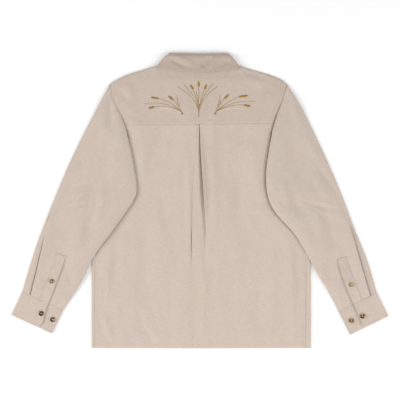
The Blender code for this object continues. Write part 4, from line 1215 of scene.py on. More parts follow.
# %% Cuffs
# How far a cuff's top edge reaches over the end of the sleeve.
OVER_SEAM = 0.9
CUFF_CRUMPLES = [(0.3, 30.0, 31.0), (0.1, 9.0, 33.0)]


def cuff_sizes(side):
    """Direction across a cuff, its depth, its width at the seam, and the share of it left at the end."""
    top, bottom = cuff_ends(side)
    down = cuff_direction(side)
    across = np.array([down[1], -down[0]])
    depth = float(np.dot(bottom[0] - top[0], down))
    width = float(np.dot(top[1] - top[0], across))
    return across, depth, width, float(np.dot(bottom[1] - bottom[0], across)) / width


def cuff_rows(side):
    top, down = cuff_ends(side)[0], cuff_direction(side)
    across, depth, width, narrow = cuff_sizes(side)
    end_top, end_bottom, corner = CUFF_LAP_END[side]
    edge = WALL / 2 + FOLD_RADIUS

    def lap_level(a):
        lap = LAYER * ease(a, end_top - CUFF_LAP - 22.0, end_top - CUFF_LAP - 4.0)
        return EDGE_LEVEL + lap + (LAP_STANDS[side] - LAYER) * ease(a, end_top - 12.0, end_top)

    section = []
    for angle in (90, 75, 60, 45, 30, 15, 0):
        back = corner * (1 - math.sin(math.radians(angle)))
        stop = depth - corner * (1 - math.cos(math.radians(angle)))
        section.append((end_top - back, lap_level(end_top - back), stop, True, 1.0))
    for a in np.linspace(end_top - CUFF_LAP - 3.0, end_top - CUFF_LAP - 23.0, 4):
        section.append((a, lap_level(a), depth, True, 1.0))
    section.append((edge, EDGE_LEVEL, depth, True, 1.0))
    round_fold = [(FOLD_RADIUS * out, FLOOR_LEVEL + FOLD_RADIUS * (1 + up), 0.5 + up / 2)
                  for out, up in TURN]
    for out, level, free in round_fold[::-1][1:]:
        section.append((edge - out, level, depth, False, free))
    for a in (edge + 2.0, width * 0.25, width * 0.5, width * 0.75, width - edge - 2.0):
        section.append((a, FLOOR_LEVEL, depth, False, 0.0))
    for out, level, free in round_fold:
        section.append((width - edge + out, level, depth, False, free))
    section.append((end_top - CUFF_LAP / 2, EDGE_LEVEL, depth, False, 0.0))
    section.append((end_top - CUFF_LAP, EDGE_LEVEL, depth, False, 0.0))
    rows = []
    for v in np.linspace(0.0, 1.0, 6):
        row = []
        for a, z, stop, lapping, free in section:
            distance = stop * v
            wide = mix(1.0, end_bottom / end_top if lapping else narrow, distance / depth)
            distance -= OVER_SEAM * free * (1.0 - ease(v, 0.0, 0.2))
            row.append(at(side, *(top[0] + across * a * wide + down * distance), z, free))
        rows.append(row)
    return rows


def cuff_shape(x, y, free):
    return free * (0.25 + crumpled(x, y, CUFF_CRUMPLES))


for side, word in SIDES:
    down = cuff_direction(side)
    lay("cuff_cloth_" + word, "cuff_" + word, [cuff_rows(side)], (side * down[0], down[1]), SLEEVE_CLOTH,
        cuff_shape, step=3.0, cloth=STIFF_CLOTH)

# %% [markdown]
# ## Collar
# The collar has two parts. The stand is a band round the neck, hidden here. The leaf falls over it from
# a soft roll at the top, and its points lie under the fronts. Both go all the way round, so each is one
# long grid of columns that starts at one front end and finishes at the other.


# %% Collar stand
def stand_front_points(side):
    neck = np.array(FRONT_NECK[side][::-1])
    lower = [*pushed(neck, SEAM_GAP)[:4], np.array([side * CENTRE_X, NECK_BASE_Y + 2 * SEAM_GAP])]
    first = np.array([STAND_SIDE[side][0][0] - 5.5, 326.0])
    last = np.array([side * CENTRE_X, NECK_BASE_Y + STAND_HEIGHT])
    return lower, [first, *pushed(neck, STAND_HEIGHT)[1:4], last]


def stand_columns(side):
    lower, upper = stand_front_points(side)
    end = side * CENTRE_X - PLACKET_WIDTH / 2 + 1.0
    lower.append(np.array([end, NECK_BASE_Y + 2 * SEAM_GAP]))
    upper.append(np.array([end, NECK_BASE_Y + STAND_HEIGHT]))
    level = front_level if side == 1 else under_front_level
    columns = []
    for a, b in zip(lower, upper):
        columns.append([at(side, *p, level(side * p[0], p[1])) for p in np.linspace(a, b, 4)])
    columns = columns[::-1]
    curve = pushed(evenly(spline(STAND_SIDE[side]), 16), LEAF_CLEAR)
    fold_line = along(curve, np.linspace(1.0, 0.12, 4))
    normals = pushed(fold_line, -1.0) - fold_line
    for out, up in TURN:
        column = []
        for point, normal in zip(fold_line, normals):
            low = front_level(side * point[0], point[1])
            radius = (yoke_level(side * point[0], point[1]) - low) / 2
            spot = point + normal * (WALL / 2 + radius * (1 - out))
            column.append(at(side, *spot, low + radius * (1 + up)))
        columns.append(column)
    neck = evenly(spline(BACK_NECK[side]), NECK_STEPS)[1:]
    neck[:, 1] += SEAM_GAP / 2
    roll = LEAF_TOP if side == 1 else [(-x, y) for x, y in LEAF_TOP[::-1]]
    roll = along(spline(roll)[::-1], np.linspace(0.0, 0.5, NECK_STEPS + 1))[1:]
    for a, b in zip(neck, roll):
        column = np.linspace(a, [b[0], b[1] - WALL / 2 - 1.6], 4)
        columns.append([at(side, *p, yoke_level(side * p[0], p[1])) for p in column])
    return columns


left_stand, right_stand = stand_columns(-1), stand_columns(1)[::-1]
right_stand[0] = left_stand[-1]
lay("collar_stand_cloth", "collar_stand", [left_stand + right_stand[1:]], ROUND_THE_NECK, COLLAR_CLOTH_PAINTED_SHADE,
    step=5.0, cloth=0.8)


# %% Collar leaf
# The first points of the leaf at its roll, as back and up: on top, round the side, and under the fronts.
TOP_LIP = [(0.0, 0.0), (0.3, 0.7)]
SIDE_LIP = [(0.3, 0.7), (0.2, 0.2)]
FRONT_LIP = [(0.7, 0.7), (0.5, 0.2)]
LEAF_OVER_STAND = [(1.5, 3.0), (2.0, 3.0), (0.0, 4.0)]
LEAF_OPENING = 7.0
LEAF_CORNER = (6.0, 291.0)


def leaf_radius(side, p):
    return (yoke_level(side * p[0], p[1]) + LAYER - FLOOR_LEVEL) / 2


def leaf_side(side):
    curve = spline(LEAF_SIDE[side])
    line = along(curve, LEAF_SHARES)
    normals = along(pushed(curve, 1.0), LEAF_SHARES) - line
    flat = [p + n * (leaf_radius(side, p) + WALL / 2) for p, n in zip(line, normals)]
    return line, normals, np.array(flat)


def leaf_back():
    left = leaf_side(-1)[2] * [-1, 1]
    right = leaf_side(1)[2]
    top = along(spline(LEAF_TOP), LEAF_TOP_SHARES)
    top[:, 1] -= WALL / 2 + LAYER / 2
    top[0], top[-1] = left[0], right[0]
    bottom = along(spline(LEAF_BOTTOM), np.linspace(0.0, 1.0, len(top) - 2))
    rows = coons(top, np.vstack([[left[-1]], bottom, [right[-1]]]), left, right)
    columns = []
    for j, (x, y) in enumerate(top):
        level = yoke_level(x, y) + LAYER
        column = []
        for back, up in TOP_LIP:
            column.append(at(1, x, y + LAYER / 2 * (1 - back), level - LAYER / 2 * (1 - up)))
        for row in rows:
            column.append(at(1, *row[j], yoke_level(*row[j]) + LAYER, 1.0))
        columns.append(column)
    return columns


def leaf_turn(side):
    line, normals, _ = leaf_side(side)
    columns = []
    for out, up in TURN[::-1][1:]:
        column = []
        for p, n in zip(line, normals):
            radius = leaf_radius(side, p)
            spot = p + n * (WALL / 2 + radius * (1 - out))
            column.append(at(side, *spot, FLOOR_LEVEL + radius * (1 + up)))
        x, y, z, free = column[0]
        inward = -abs(up) if up > 0 else abs(up)
        lip = [(x, y + back, z + rise * inward, free) for back, rise in SIDE_LIP]
        columns.append(lip + column)
    return columns


def leaf_front(side):
    flat = leaf_side(side)[2]
    stand_top = stand_front_points(side)[1]
    roll = [flat[0]] + [p + np.array(step) for p, step in zip(stand_top, LEAF_OVER_STAND)]
    roll.append(np.array([side * CENTRE_X + LEAF_OPENING, NECK_BASE_Y + STAND_HEIGHT + 4.0]))
    corner = (flat[-1][0] - LEAF_CORNER[0], LEAF_CORNER[1])
    low_edge = evenly(spline([flat[-1], corner, LEAF_POINT]), len(roll) - 1)
    patch = coons(np.array(roll), low_edge, flat, np.linspace(roll[-1], LEAF_POINT, len(LEAF_SHARES)))
    columns = []
    for j, (x, y) in list(enumerate(roll))[1:]:
        lip = [at(side, x, y + back, FLOOR_LEVEL + up) for back, up in FRONT_LIP]
        columns.append(lip + [at(side, *row[j], FLOOR_LEVEL) for row in patch])
    return columns


LEAF_EDGE = spline(LEAF_BOTTOM, 10)
LEAF_ROLL = spline(LEAF_TOP, 10)
LEAF_CRUMPLES = [(0.25, 26.0, 41.0)]
LEAF_SWELL = 1.9
ROLL_PLUMPNESS = 1.8
EDGE_STANDS = 1.2


def leaf_shape(x, y, free):
    """The leaf's creases, its plump roll and its lower edge, which stands off the yoke a little."""
    from_roll = distance_to(LEAF_ROLL, x, y)
    from_edge = distance_to(LEAF_EDGE, x, y)
    relief = creased(x, y, COLLAR_CREASES) + crumpled(x, y, LEAF_CRUMPLES) + LEAF_SWELL
    relief = relief * ease(from_roll, 0.0, 10.0)
    relief = relief + ROLL_PLUMPNESS * ease(from_roll, 0.0, 7.0) * (1.0 - ease(from_roll, 9.0, 24.0))
    relief = relief + EDGE_STANDS * (1.0 - ease(from_edge, 0.0, 14.0))
    return free * np.maximum(relief, -0.2)


left_leaf = (leaf_turn(-1) + leaf_front(-1))[::-1]
right_leaf = leaf_turn(1) + leaf_front(1)
leaf_grid = left_leaf + leaf_back() + right_leaf
lay("collar_leaf_cloth", "collar_leaf", [leaf_grid], ROUND_THE_NECK, COLLAR_CLOTH_PAINTED_SHADE, leaf_shape, step=3.0,
    cloth=STIFF_CLOTH)

# %% [markdown]
# ## Sewing
# All the seams and edges are topstitched with thread of the cloth's own colour. Each stitch is a small
# spindle, and its two ends are found by dropping a ray on the finished cloth, so it follows every crease.
# The same stitch, longer and closer together, does for the embroidery.


# %% Threads
def thread(name, colour, shine=0.0):
    made, nodes, links, shader = new_finish(name)
    place = nodes.new("ShaderNodeTexCoord")
    fibres = nodes.new("ShaderNodeTexNoise")
    dial(fibres, {"Scale": 900.0, "Detail": 2.0})
    links.new(place.outputs["Object"], fibres.inputs["Vector"])
    blend = nodes.new("ShaderNodeMix")
    blend.data_type = "RGBA"
    links.new(fibres.outputs["Fac"], blend.inputs["Factor"])
    blend.inputs[6].default_value = (*[0.72 * c for c in colour], 1.0)
    blend.inputs[7].default_value = (*[min(1.28 * c, 1.0) for c in colour], 1.0)
    links.new(blend.outputs[2], shader.inputs["Base Color"])
    dial(shader, {"Roughness": 0.55, "Sheen Weight": shine})
    return made


COTTON = thread("cotton_thread", (0.58, 0.48, 0.40), 0.15)
OCHRE = thread("ochre_thread", (0.365, 0.222, 0.024))
STRAW = thread("straw_thread", (0.440, 0.320, 0.155))
BROWN = thread("brown_thread", (0.310, 0.190, 0.125))
CREAM = thread("cream_thread", (0.800, 0.690, 0.500))


print("threads:", ", ".join(finish.name for finish in (COTTON, OCHRE, STRAW, BROWN, CREAM)))

# %% Stitches on finished cloth
STITCH_RADIUS = 0.24
ROW_PITCH = 3.1
ROW_LENGTH = 2.4
BUTTONHOLE = (14.0, 1.7)
SATIN_PITCH = 0.42
SATIN_SLANT = 62.0
CLEAR_HEIGHT = 50.0


def trees_of(names):
    graph = bpy.context.evaluated_depsgraph_get()
    return [BVHTree.FromObject(shells[name], graph) for name in names]


def touch(trees, x, y, below=False):
    """The outermost cloth at a plan point in mm, seen from above or from below, or None."""
    start = in_metres(x, y, -CLEAR_HEIGHT if below else CLEAR_HEIGHT)
    hits = [tree.ray_cast(start, Vector((0.0, 0.0, 1.0 if below else -1.0)))[0] for tree in trees]
    hits = [hit for hit in hits if hit is not None]
    if not hits:
        return None
    return (min if below else max)(hits, key=lambda hit: hit.z)


def add_stitch(bm, start, end, radius, flatness=0.6):
    middle = Matrix.Translation((start + end) / 2)
    turned = (end - start).to_track_quat("X", "Z").to_matrix().to_4x4()
    size = Matrix.Diagonal(((end - start).length / 2, radius * MM, flatness * radius * MM, 1.0))
    bmesh.ops.create_icosphere(bm, subdivisions=1, radius=1.0, matrix=middle @ turned @ size)


def stitches_on(trees, spans, radius, below=False, proud=0.4):
    """A mesh of stitches between pairs of plan points. proud is how far their middle stands out of
    the cloth, in radii. On what lies on the table it is 0 or less, so no stitch reaches into it."""
    bm = bmesh.new()
    up = radius * (-proud if below else proud) * MM
    for a, b in spans:
        ends = [touch(trees, *p, below) for p in (a, b)]
        if None in ends or abs(ends[0].z - ends[1].z) > 0.8 * (ends[0] - ends[1]).xy.length:
            continue
        add_stitch(bm, *[end + Vector((0.0, 0.0, up)) for end in ends], radius)
    return mesh_of(bm, "stitches")


def row_of(line, pitch=ROW_PITCH, length=ROW_LENGTH):
    """Pairs of plan points for a row of stitches along a line."""
    line = np.array(line, dtype=float)
    total = np.sum(np.linalg.norm(np.diff(line, axis=0), axis=1))
    starts = np.arange(0.0, max(total - length, 0.1), pitch)
    ends = np.minimum((starts + length) / total, 1.0)
    return list(zip(along(line, starts / total), along(line, ends)))


def join(name, meshes, finish):
    """Makes one piece of many meshes of stitches."""
    whole = bmesh.new()
    for mesh in meshes:
        whole.from_mesh(mesh)
        bpy.data.meshes.remove(mesh)
    made = mesh_of(whole, name)
    made.shade_smooth()
    made.materials.append(finish)
    piece = put(name, made)
    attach(piece, "root")
    print("%s: %d faces" % (name, len(made.polygons)))


def sew(name, cloths, lines, below=False, holes=(), proud=0.4):
    """Topstitching along lines, and a buttonhole for each middle and angle in holes."""
    trees = trees_of(cloths)
    rows = [row_of(line) for line in lines]
    for middle, angle in holes:
        for beside in (-1.0, 1.0):
            rows.append(satin(np.array(middle) + ray(angle + 90.0) * beside, angle, *BUTTONHOLE))
    join(name, [stitches_on(trees, row, STITCH_RADIUS, below, proud) for row in rows], COTTON)


def mirrored(side, line):
    return [(side * x, y) for x, y in line]


def ray(angle):
    return np.array([math.cos(math.radians(angle)), math.sin(math.radians(angle))])


def satin(centre, angle, length, width):
    """Pairs of plan points for threads side by side across a bar with rounded ends."""
    pairs = []
    for t in np.arange(0.02, 0.99, SATIN_PITCH / length):
        half = ray(angle + SATIN_SLANT) * (width / 2 * math.sin(math.pi * t) ** 0.25)
        middle = centre + ray(angle) * length * (t - 0.5)
        pairs.append((middle - half, middle + half))
    return pairs


# %% Topstitching of the back and the yoke
# Distances of the rows from a seam or an edge.
EDGE_ROW = 1.6
YOKE_ROW = 6.4
CUFF_ROW = 6.5
SIDE_ROW = 7.0
ARMHOLE_ROW = 8.5
HEM_ROW = 11.5
FREE_EDGE_ROW = 5.0


def seam_line(reach, above):
    return [(x, YOKE_SEAM_Y + SEAM_TILT * x + above) for x in np.linspace(-reach, reach, 40)]


sew("yoke_stitching", ["yoke_cloth"], [seam_line(166.0, EDGE_ROW), seam_line(167.0, YOKE_ROW)])
arm_lines = []
for side, _ in SIDES:
    arm = ARMHOLE_CURVE[side]
    arm = arm[arm[:, 1] > NOTCH_Y - 16.0]
    arm_lines += [mirrored(side, pushed(arm, inward)) for inward in (EDGE_ROW, ARMHOLE_ROW)]
sew("armhole_stitching", ["yoke_cloth", "back_cloth"], arm_lines)
hem_lines = [[(x, HEM_Y + HEM_ROW) for x in np.linspace(-259.0, 265.5, 60)]]
for side, _ in SIDES:
    ys = np.linspace(-18.0, HEM_Y + 2.0, 40)
    for inward in (EDGE_ROW, SIDE_ROW):
        hem_lines.append([(side * (body_edge_x(side, y) - inward), y) for y in ys])
sew("hem_and_side_stitching", ["back_cloth", "front_cloth_left", "front_cloth_right"], hem_lines)

# %% Topstitching of the fronts, seen from below
for side, word in SIDES:
    hem = [(side * x, HEM_Y + HEM_ROW) for x in np.linspace(20.0, 260.0, 40)]
    sew("front_stitching_" + word, ["front_cloth_" + word], [hem], below=True, proud=0.0)
band_lines = []
for x in (BAND_SIDES[0] + FREE_EDGE_ROW, BAND_SIDES[1] - FREE_EDGE_ROW):
    band_lines.append([(x, y) for y in np.linspace(HEM_Y + 2.0, NECK_BASE_Y - 2.0, 60)])
sew("band_stitching", ["button_band_cloth"], band_lines, below=True,
    holes=[((CENTRE_X, y), 90.0) for y in FRONT_BUTTON_YS])
collar_lines = [[(x, y + FREE_EDGE_ROW) for x, y in spline(LEAF_BOTTOM)[4:-4]]]
collar_under = []
for side, _ in SIDES:
    edge = pushed(spline(LEAF_SIDE[side]), FREE_EDGE_ROW)
    collar_lines.append(mirrored(side, edge[6:-8]))
    flat = leaf_side(side)[2]
    end_x = flat[-1][0]
    outline = np.array([(end_x - 2.0, 318.0), (end_x - LEAF_CORNER[0], LEAF_CORNER[1]), LEAF_POINT,
                        (14.0, 286.0)])
    centre = outline.mean(axis=0)
    collar_under.append(mirrored(side, mix(outline, centre, 0.12)))
sew("collar_stitching", ["collar_leaf_cloth"], collar_lines)
sew("collar_point_stitching", ["collar_leaf_cloth"], collar_under, below=True, proud=-0.4)


# %% Topstitching of the sleeves
def cuff_place(side, a, d, lapping=False):
    """Plan point on a cuff: a from its outer edge and d down from its seam."""
    across, depth, _, narrow = cuff_sizes(side)
    if lapping:
        narrow = CUFF_LAP_END[side][1] / CUFF_LAP_END[side][0]
    return cuff_ends(side)[0][0] + across * a * mix(1.0, narrow, d / depth) + cuff_direction(side) * d


def part_way(line, k):
    """The point at a place counted in points along a line, such as 2.2."""
    return mix(line[int(k)], line[int(k) + 1], k % 1)


for side, word in SIDES:
    _, depth, wide, _ = cuff_sizes(side)
    lap, lap_at_end, corner = CUFF_LAP_END[side]
    places = (EDGE_ROW, CUFF_ROW, depth - FREE_EDGE_ROW)
    lines = []
    for d in places:
        stop = lap - corner if d > depth / 2 else lap - 1.5
        lines.append([cuff_place(side, a, d, True) for a in np.linspace(1.5, stop, 30)])
        first = lap + 3.0 if d < depth / 2 else lap_at_end + 4.0
        lines.append([cuff_place(side, a, d) for a in np.linspace(first, wide - 1.5, 20)])
    lines.append([cuff_place(side, lap - 2.5, d, True) for d in np.linspace(2.0, depth - corner, 20)])
    down = cuff_direction(side)
    (x, y), turned = CUFF_BUTTONS[side][0], math.degrees(math.atan2(-down[0], side * down[1]))
    sew("cuff_stitching_" + word, ["cuff_cloth_" + word], [mirrored(side, line) for line in lines],
        holes=[((side * x, y), turned)])
    under = [[cuff_place(side, a, d) for a in np.linspace(1.5, wide - 1.5, 40)] for d in places]
    sew("cuff_under_stitching_" + word, ["cuff_cloth_" + word], [mirrored(side, line) for line in under],
        below=True, proud=-0.4)
    inner, outer = placket_lines(side)
    ends = (0.07, 0.93)
    lines = [mix(inner, outer, t) for t in ends]
    for k in (0.25, 2.2):
        lines.append([mix(part_way(inner, k), part_way(outer, k), t) for t in ends])
    (x, y), turned = PLACKET_BUTTON[side], math.degrees(math.atan2(down[1], side * down[0]))
    sew("sleeve_placket_stitching_" + word, ["sleeve_placket_cloth_" + word],
        [mirrored(side, line) for line in lines], holes=[((side * x, y), turned)])


# %% [markdown]
# ## Embroidery
# Three sprays of reeds grow from points on the yoke. A stem is an arc that leaves its root at one angle
# and ends at another, worked in overlapping stem stitch. A head is satin stitch, slim threads side by
# side across a rounded bar. The tables give reach and angles, so the drawing comes from the rule.

# %% Sprays: reach, angle of the tip, angle at the root, length of the head or 0, its angle, thread
FAN = [
    (66.5, 90.0, 90.0, 13.5, 90.0, "straw"), (62.0, 102.8, 92.0, 13.0, 115.0, "straw"),
    (62.0, 77.4, 88.0, 13.0, 65.0, "straw"), (57.0, 96.0, 91.0, 0.0, 0.0, "straw"),
    (54.0, 84.5, 89.0, 0.0, 0.0, "cream"), (83.0, 117.0, 93.0, 0.0, 0.0, "straw"),
    (84.0, 64.8, 87.0, 0.0, 0.0, "straw"), (85.0, 127.8, 94.0, 0.0, 0.0, "straw"),
    (84.5, 55.2, 86.0, 0.0, 0.0, "straw"), (50.0, 109.0, 92.0, 0.0, 0.0, "cream"),
    (26.0, 92.5, 91.0, 0.0, 0.0, "brown"), (27.0, 87.0, 89.0, 0.0, 0.0, "brown"),
    (5.6, -92.0, -90.0, 0.0, 0.0, "brown"),
]
SIDE_SPRAY = {
    -1: [(66.4, 32.3, 50.0, 18.4, 5.0, "straw"), (38.1, 56.0, 66.0, 14.6, 36.0, "straw"),
         (44.6, 73.5, 62.0, 0.0, 0.0, "straw"), (36.0, 70.0, 60.0, 0.0, 0.0, "straw"),
         (94.3, 13.5, 41.0, 0.0, 0.0, "straw"), (68.4, 12.9, 37.0, 14.2, -18.0, "straw"),
         (65.4, 6.7, 31.0, 0.0, 0.0, "cream"), (58.0, 9.5, 32.0, 0.0, 0.0, "cream"),
         (24.0, 44.0, 50.0, 0.0, 0.0, "brown")],
    1: [(69.3, 34.7, 48.0, 20.6, 5.5, "straw"), (40.7, 58.3, 64.0, 14.5, 40.0, "straw"),
        (45.8, 76.0, 66.0, 0.0, 0.0, "straw"), (35.0, 68.0, 60.0, 0.0, 0.0, "straw"),
        (101.6, 15.8, 40.0, 0.0, 0.0, "straw"), (71.3, 16.0, 36.0, 16.0, -15.5, "straw"),
        (66.8, 8.6, 31.0, 0.0, 0.0, "cream"), (57.0, 11.0, 33.0, 0.0, 0.0, "cream"),
        (24.0, 42.0, 48.0, 0.0, 0.0, "brown")],
}
SPRAYS = [(1, (-3.0, 206.5), FAN), (-1, (42.9, 210.9), SIDE_SPRAY[-1]), (1, (36.9, 210.9), SIDE_SPRAY[1])]
STEM_STITCH = {"straw": (0.72, STRAW), "cream": (0.65, CREAM), "brown": (0.85, BROWN)}
STEM_ROW = (2.3, 3.2)
HEAD_WIDTH = 7.2
HEAD_THREAD = 0.26
KNOT_THREAD = 0.27
SATIN_PROUD = 1.5
print("stems:", sum(len(stems) for _, _, stems in SPRAYS))


# %% Stems and heads
def stem_line(root, reach, tip_angle, root_angle):
    """An arc from the root, which starts off at one angle and ends in the direction of another."""
    bend, tip = 0.5 * reach * ray(root_angle), reach * ray(tip_angle)
    return [root + 2 * t * (1 - t) * bend + t * t * tip for t in np.linspace(0.0, 1.0, 30)]


yoke_trees = trees_of(["yoke_cloth"])
worked = {"straw": [], "cream": [], "brown": [], "head": []}


def work(kind, side, pairs, radius, proud=0.4):
    """Adds stitches on the yoke to those of one thread."""
    pairs = [mirrored(side, pair) for pair in pairs]
    worked[kind].append(stitches_on(yoke_trees, pairs, radius, proud=proud))


for side, root, stems in SPRAYS:
    root = np.array(root)
    for reach, tip_angle, root_angle, head, head_angle, colour in stems:
        line = stem_line(root, reach, tip_angle, root_angle)
        work(colour, side, row_of(line, *STEM_ROW), STEM_STITCH[colour][0])
        if head:
            bar = satin(line[-1] + ray(head_angle) * head / 2, head_angle, head, HEAD_WIDTH)
            work("head", side, bar, HEAD_THREAD, SATIN_PROUD)
    if stems is not FAN:
        work("brown", side, satin(root - ray(90.0) * 1.2, 75.0, 5.0, 5.4), KNOT_THREAD, SATIN_PROUD)
for colour, (_, finish) in STEM_STITCH.items():
    join("embroidery_" + colour, worked[colour], finish)
join("embroidery_heads", worked["head"], OCHRE)

# %% [markdown]
# ## Pieces of cloth
# The pieces of cloth laid above are counted.

# %% Sheets
print("sheets of cloth:", len(shells))

# %% [markdown]
# ## Buttons
# The buttons are turned from horn: a dished middle inside a rounded rim, four drilled holes, and a cross
# of thread. The cloudy dark and golden pattern is a noise pushed through a colour ramp.


# %% Horn
def horn(name, stops):
    made, nodes, links, shader = new_finish(name)
    place = nodes.new("ShaderNodeTexCoord")
    clouds = nodes.new("ShaderNodeTexNoise")
    dial(clouds, {"Scale": 150.0, "Detail": 3.0, "Distortion": 0.8})
    links.new(place.outputs["Object"], clouds.inputs["Vector"])
    ramp = nodes.new("ShaderNodeValToRGB")
    for index, (position, colour) in enumerate(stops):
        stop = ramp.color_ramp.elements[index] if index < 2 else ramp.color_ramp.elements.new(position)
        stop.position = position
        stop.color = (*colour, 1.0)
    links.new(clouds.outputs["Fac"], ramp.inputs["Fac"])
    links.new(ramp.outputs["Color"], shader.inputs["Base Color"])
    dial(shader, {"Roughness": 0.3, "Coat Weight": 0.15})
    return made


DARK_HORN = horn("dark_horn", [
    (0.46, (0.013, 0.007, 0.005)), (0.60, (0.50, 0.27, 0.04)), (0.53, (0.10, 0.04, 0.01))])
PALE_HORN = horn("pale_horn", [
    (0.38, (0.08, 0.05, 0.02)), (0.62, (0.55, 0.40, 0.18)), (0.50, (0.28, 0.18, 0.07))])
print("horn finishes:", DARK_HORN.name, PALE_HORN.name)


# %% A turned button
def turned_button(radius, thickness):
    """The mesh of a button that faces up, with its lowest point at 0. The cross of thread is slot 1."""
    profile = [(0.0, 0.60), (0.55, 0.60), (0.66, 0.68), (0.75, 0.93), (0.84, 1.0), (0.94, 0.92),
               (1.0, 0.66), (0.97, 0.40), (0.72, 0.05), (0.5, 0.0), (0.0, 0.0)]
    bm = bmesh.new()
    verts = [bm.verts.new((r * radius * MM, 0.0, z * thickness * MM)) for r, z in profile]
    edges = [bm.edges.new(pair) for pair in zip(verts[:-1], verts[1:])]
    bmesh.ops.spin(bm, geom=verts + edges, cent=(0, 0, 0), axis=(0, 0, 1), angle=2 * math.pi, steps=32,
                   use_merge=True)
    bmesh.ops.remove_doubles(bm, verts=bm.verts, dist=1e-6)
    bmesh.ops.recalc_face_normals(bm, faces=bm.faces)
    blank = mesh_of(bm, "blank")
    drills = bmesh.new()
    gap = 0.22 * radius * MM
    drill = 0.12 * radius * MM
    holes = [Vector((i * gap, j * gap, 0.0)) for i in (-1, 1) for j in (-1, 1)]
    for hole in holes:
        bmesh.ops.create_cone(drills, cap_ends=True, segments=12, radius1=drill, radius2=drill,
                              depth=4 * thickness * MM, matrix=Matrix.Translation(hole))
    pair = [put(mesh.name, mesh) for mesh in (blank, mesh_of(drills, "drills"))]
    cut = pair[0].modifiers.new("Holes", "BOOLEAN")
    cut.operation = "DIFFERENCE"
    cut.solver = "EXACT"
    cut.object = pair[1]
    finished = pair[0].evaluated_get(bpy.context.evaluated_depsgraph_get())
    drilled = bpy.data.meshes.new_from_object(finished)
    for made in pair:
        bpy.data.objects.remove(made, do_unlink=True)
    cross = bmesh.new()
    lift = Vector((0.0, 0.0, 0.66 * thickness * MM))
    for corner in (holes[0], holes[1]):
        beside = Vector((-corner.y, corner.x, 0.0)).normalized() * 0.32 * MM
        for k in (-1, 0, 1):
            middle = lift + beside * k
            add_stitch(cross, middle + corner * 1.2, middle - corner * 1.2, STITCH_RADIUS)
    for face in cross.faces:
        face.material_index = 1
    cross.from_mesh(drilled)
    whole = mesh_of(cross, "button")
    whole.shade_smooth()
    whole.set_sharp_from_angle(angle=math.radians(40))
    return whole


def set_button(name, pattern, x, y, base, finish, turn_by, face_down=0.0):
    """face_down is the thickness of a button that lies on its face, or 0."""
    mesh = pattern.copy()
    place = Matrix.Translation(in_metres(x, y) + Vector((0.0, 0.0, base + face_down * MM)))
    tip = Matrix.Rotation(math.pi if face_down else 0.0, 4, "X")
    mesh.transform(place @ Matrix.Rotation(math.radians(turn_by), 4, "Z") @ tip)
    for material in (finish, COTTON):
        mesh.materials.append(material)
    piece = put(name + "_turned", mesh)
    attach(piece, "root")
    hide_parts(name)


def seat_on(trees, x, y, radius):
    """Height of the highest cloth under a button."""
    spots = [(x, y), (x + radius, y), (x - radius, y), (x, y + radius), (x, y - radius)]
    return max(touch(trees, *spot).z for spot in spots)


CUFF_BUTTON_SIZE = (6.0, 2.4)
PLACKET_BUTTON_SIZE = (5.2, 2.2)
FRONT_BUTTON_SIZE = (5.75, 2.3)
cuff_button = turned_button(*CUFF_BUTTON_SIZE)
placket_button = turned_button(*PLACKET_BUTTON_SIZE)
front_button = turned_button(*FRONT_BUTTON_SIZE)
for side, word in SIDES:
    for (x, y), name in zip(CUFF_BUTTONS[side], ("button_cuff_", "button_cuff_spare_")):
        level = seat_on(trees_of(["cuff_cloth_" + word]), side * x, y, 4.0)
        set_button(name + word, cuff_button, side * x, y, level, DARK_HORN, 30.0 + x)
    x, y = PLACKET_BUTTON[side]
    level = seat_on(trees_of(["sleeve_placket_cloth_" + word]), side * x, y, 3.5)
    set_button("button_placket_" + word, placket_button, side * x, y, level, PALE_HORN, 12.0 + x)
for k, y in enumerate(FRONT_BUTTON_YS):
    set_button("button_front_%d" % (k + 1), front_button, CENTRE_X, y, 0.0, DARK_HORN, 37.0 * k,
               FRONT_BUTTON_SIZE[1])
set_button("button_stand", front_button, CENTRE_X, NECK_BASE_Y + STAND_HEIGHT / 2, 0.0, DARK_HORN, 20.0,
           FRONT_BUTTON_SIZE[1])
print("faces of a button:", len(front_button.polygons), "front buttons:", len(FRONT_BUTTON_YS))

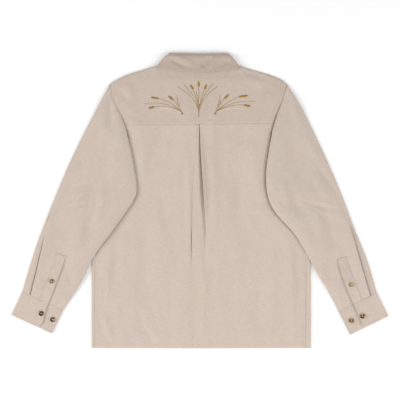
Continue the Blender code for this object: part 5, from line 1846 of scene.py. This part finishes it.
# %% [markdown]
# ## Table, light and camera
# The shirt lies on a plain pale table. The light is very soft, as from a large window and white walls,
# and comes a little more from the upper left and from the hem's end, so the shadow falls to the lower
# right. The camera hangs above the middle and looks straight down through a long lens.


# %% Table
bm = bmesh.new()
bmesh.ops.create_grid(bm, x_segments=1, y_segments=1, size=2.4)
table = put("table", mesh_of(bm, "table"))
finish, _, _, shader = new_finish("pale_table")
dial(shader, {"Base Color": (0.94, 0.94, 0.94, 1.0), "Roughness": 0.95, "Specular IOR Level": 0.1})
table.data.materials.append(finish)
print("corners of the table:", len(table.data.vertices))


# %% Lights
def area_light(name, place, aim, size, power):
    data = bpy.data.lights.new(name, "AREA")
    data.shape = "SQUARE"
    data.size = size
    data.energy = power
    lamp = put(name, data)
    lamp.location = place
    lamp.rotation_euler = (Vector(aim) - Vector(place)).to_track_quat("-Z", "Y").to_euler()


area_light("window", (-4.0, -0.2, 1.8), (0.2, -0.05, 0.0), 1.9, 124.0)
area_light("second_window", (3.6, -0.7, 1.7), (0.0, -0.1, 0.0), 1.6, 65.0)
area_light("hem_side", (0.6, -2.5, 2.2), (0.1, -0.3, 0.0), 2.0, 36.0)

world = bpy.data.worlds.new("White room")
world.use_nodes = True
dial(world.node_tree.nodes["Background"], {"Color": (1.0, 1.0, 1.0, 1.0), "Strength": 0.52})
bpy.context.scene.world = world
bpy.context.scene.view_settings.view_transform = "Standard"
print("lights:", len(bpy.data.lights))

# %% Camera
PHOTO_PIXELS = 400
MM_PER_PIXEL = 2.4
CAMERA_HEIGHT = 3.2
FOCUS_HEIGHT = 0.004
SENSOR_WIDTH = 36.0
camera_data = bpy.data.cameras.new("camera")
camera_data.sensor_width = SENSOR_WIDTH
camera_data.lens = SENSOR_WIDTH * (CAMERA_HEIGHT - FOCUS_HEIGHT) / (PHOTO_PIXELS * MM_PER_PIXEL * MM)
camera = put("camera", camera_data)
camera.location = (FRAME_SHIFT[0] * MM, (MM_PER_PIXEL + FRAME_SHIFT[1]) * MM, CAMERA_HEIGHT)
bpy.context.scene.camera = camera
print("lens: %.1f mm" % camera_data.lens)
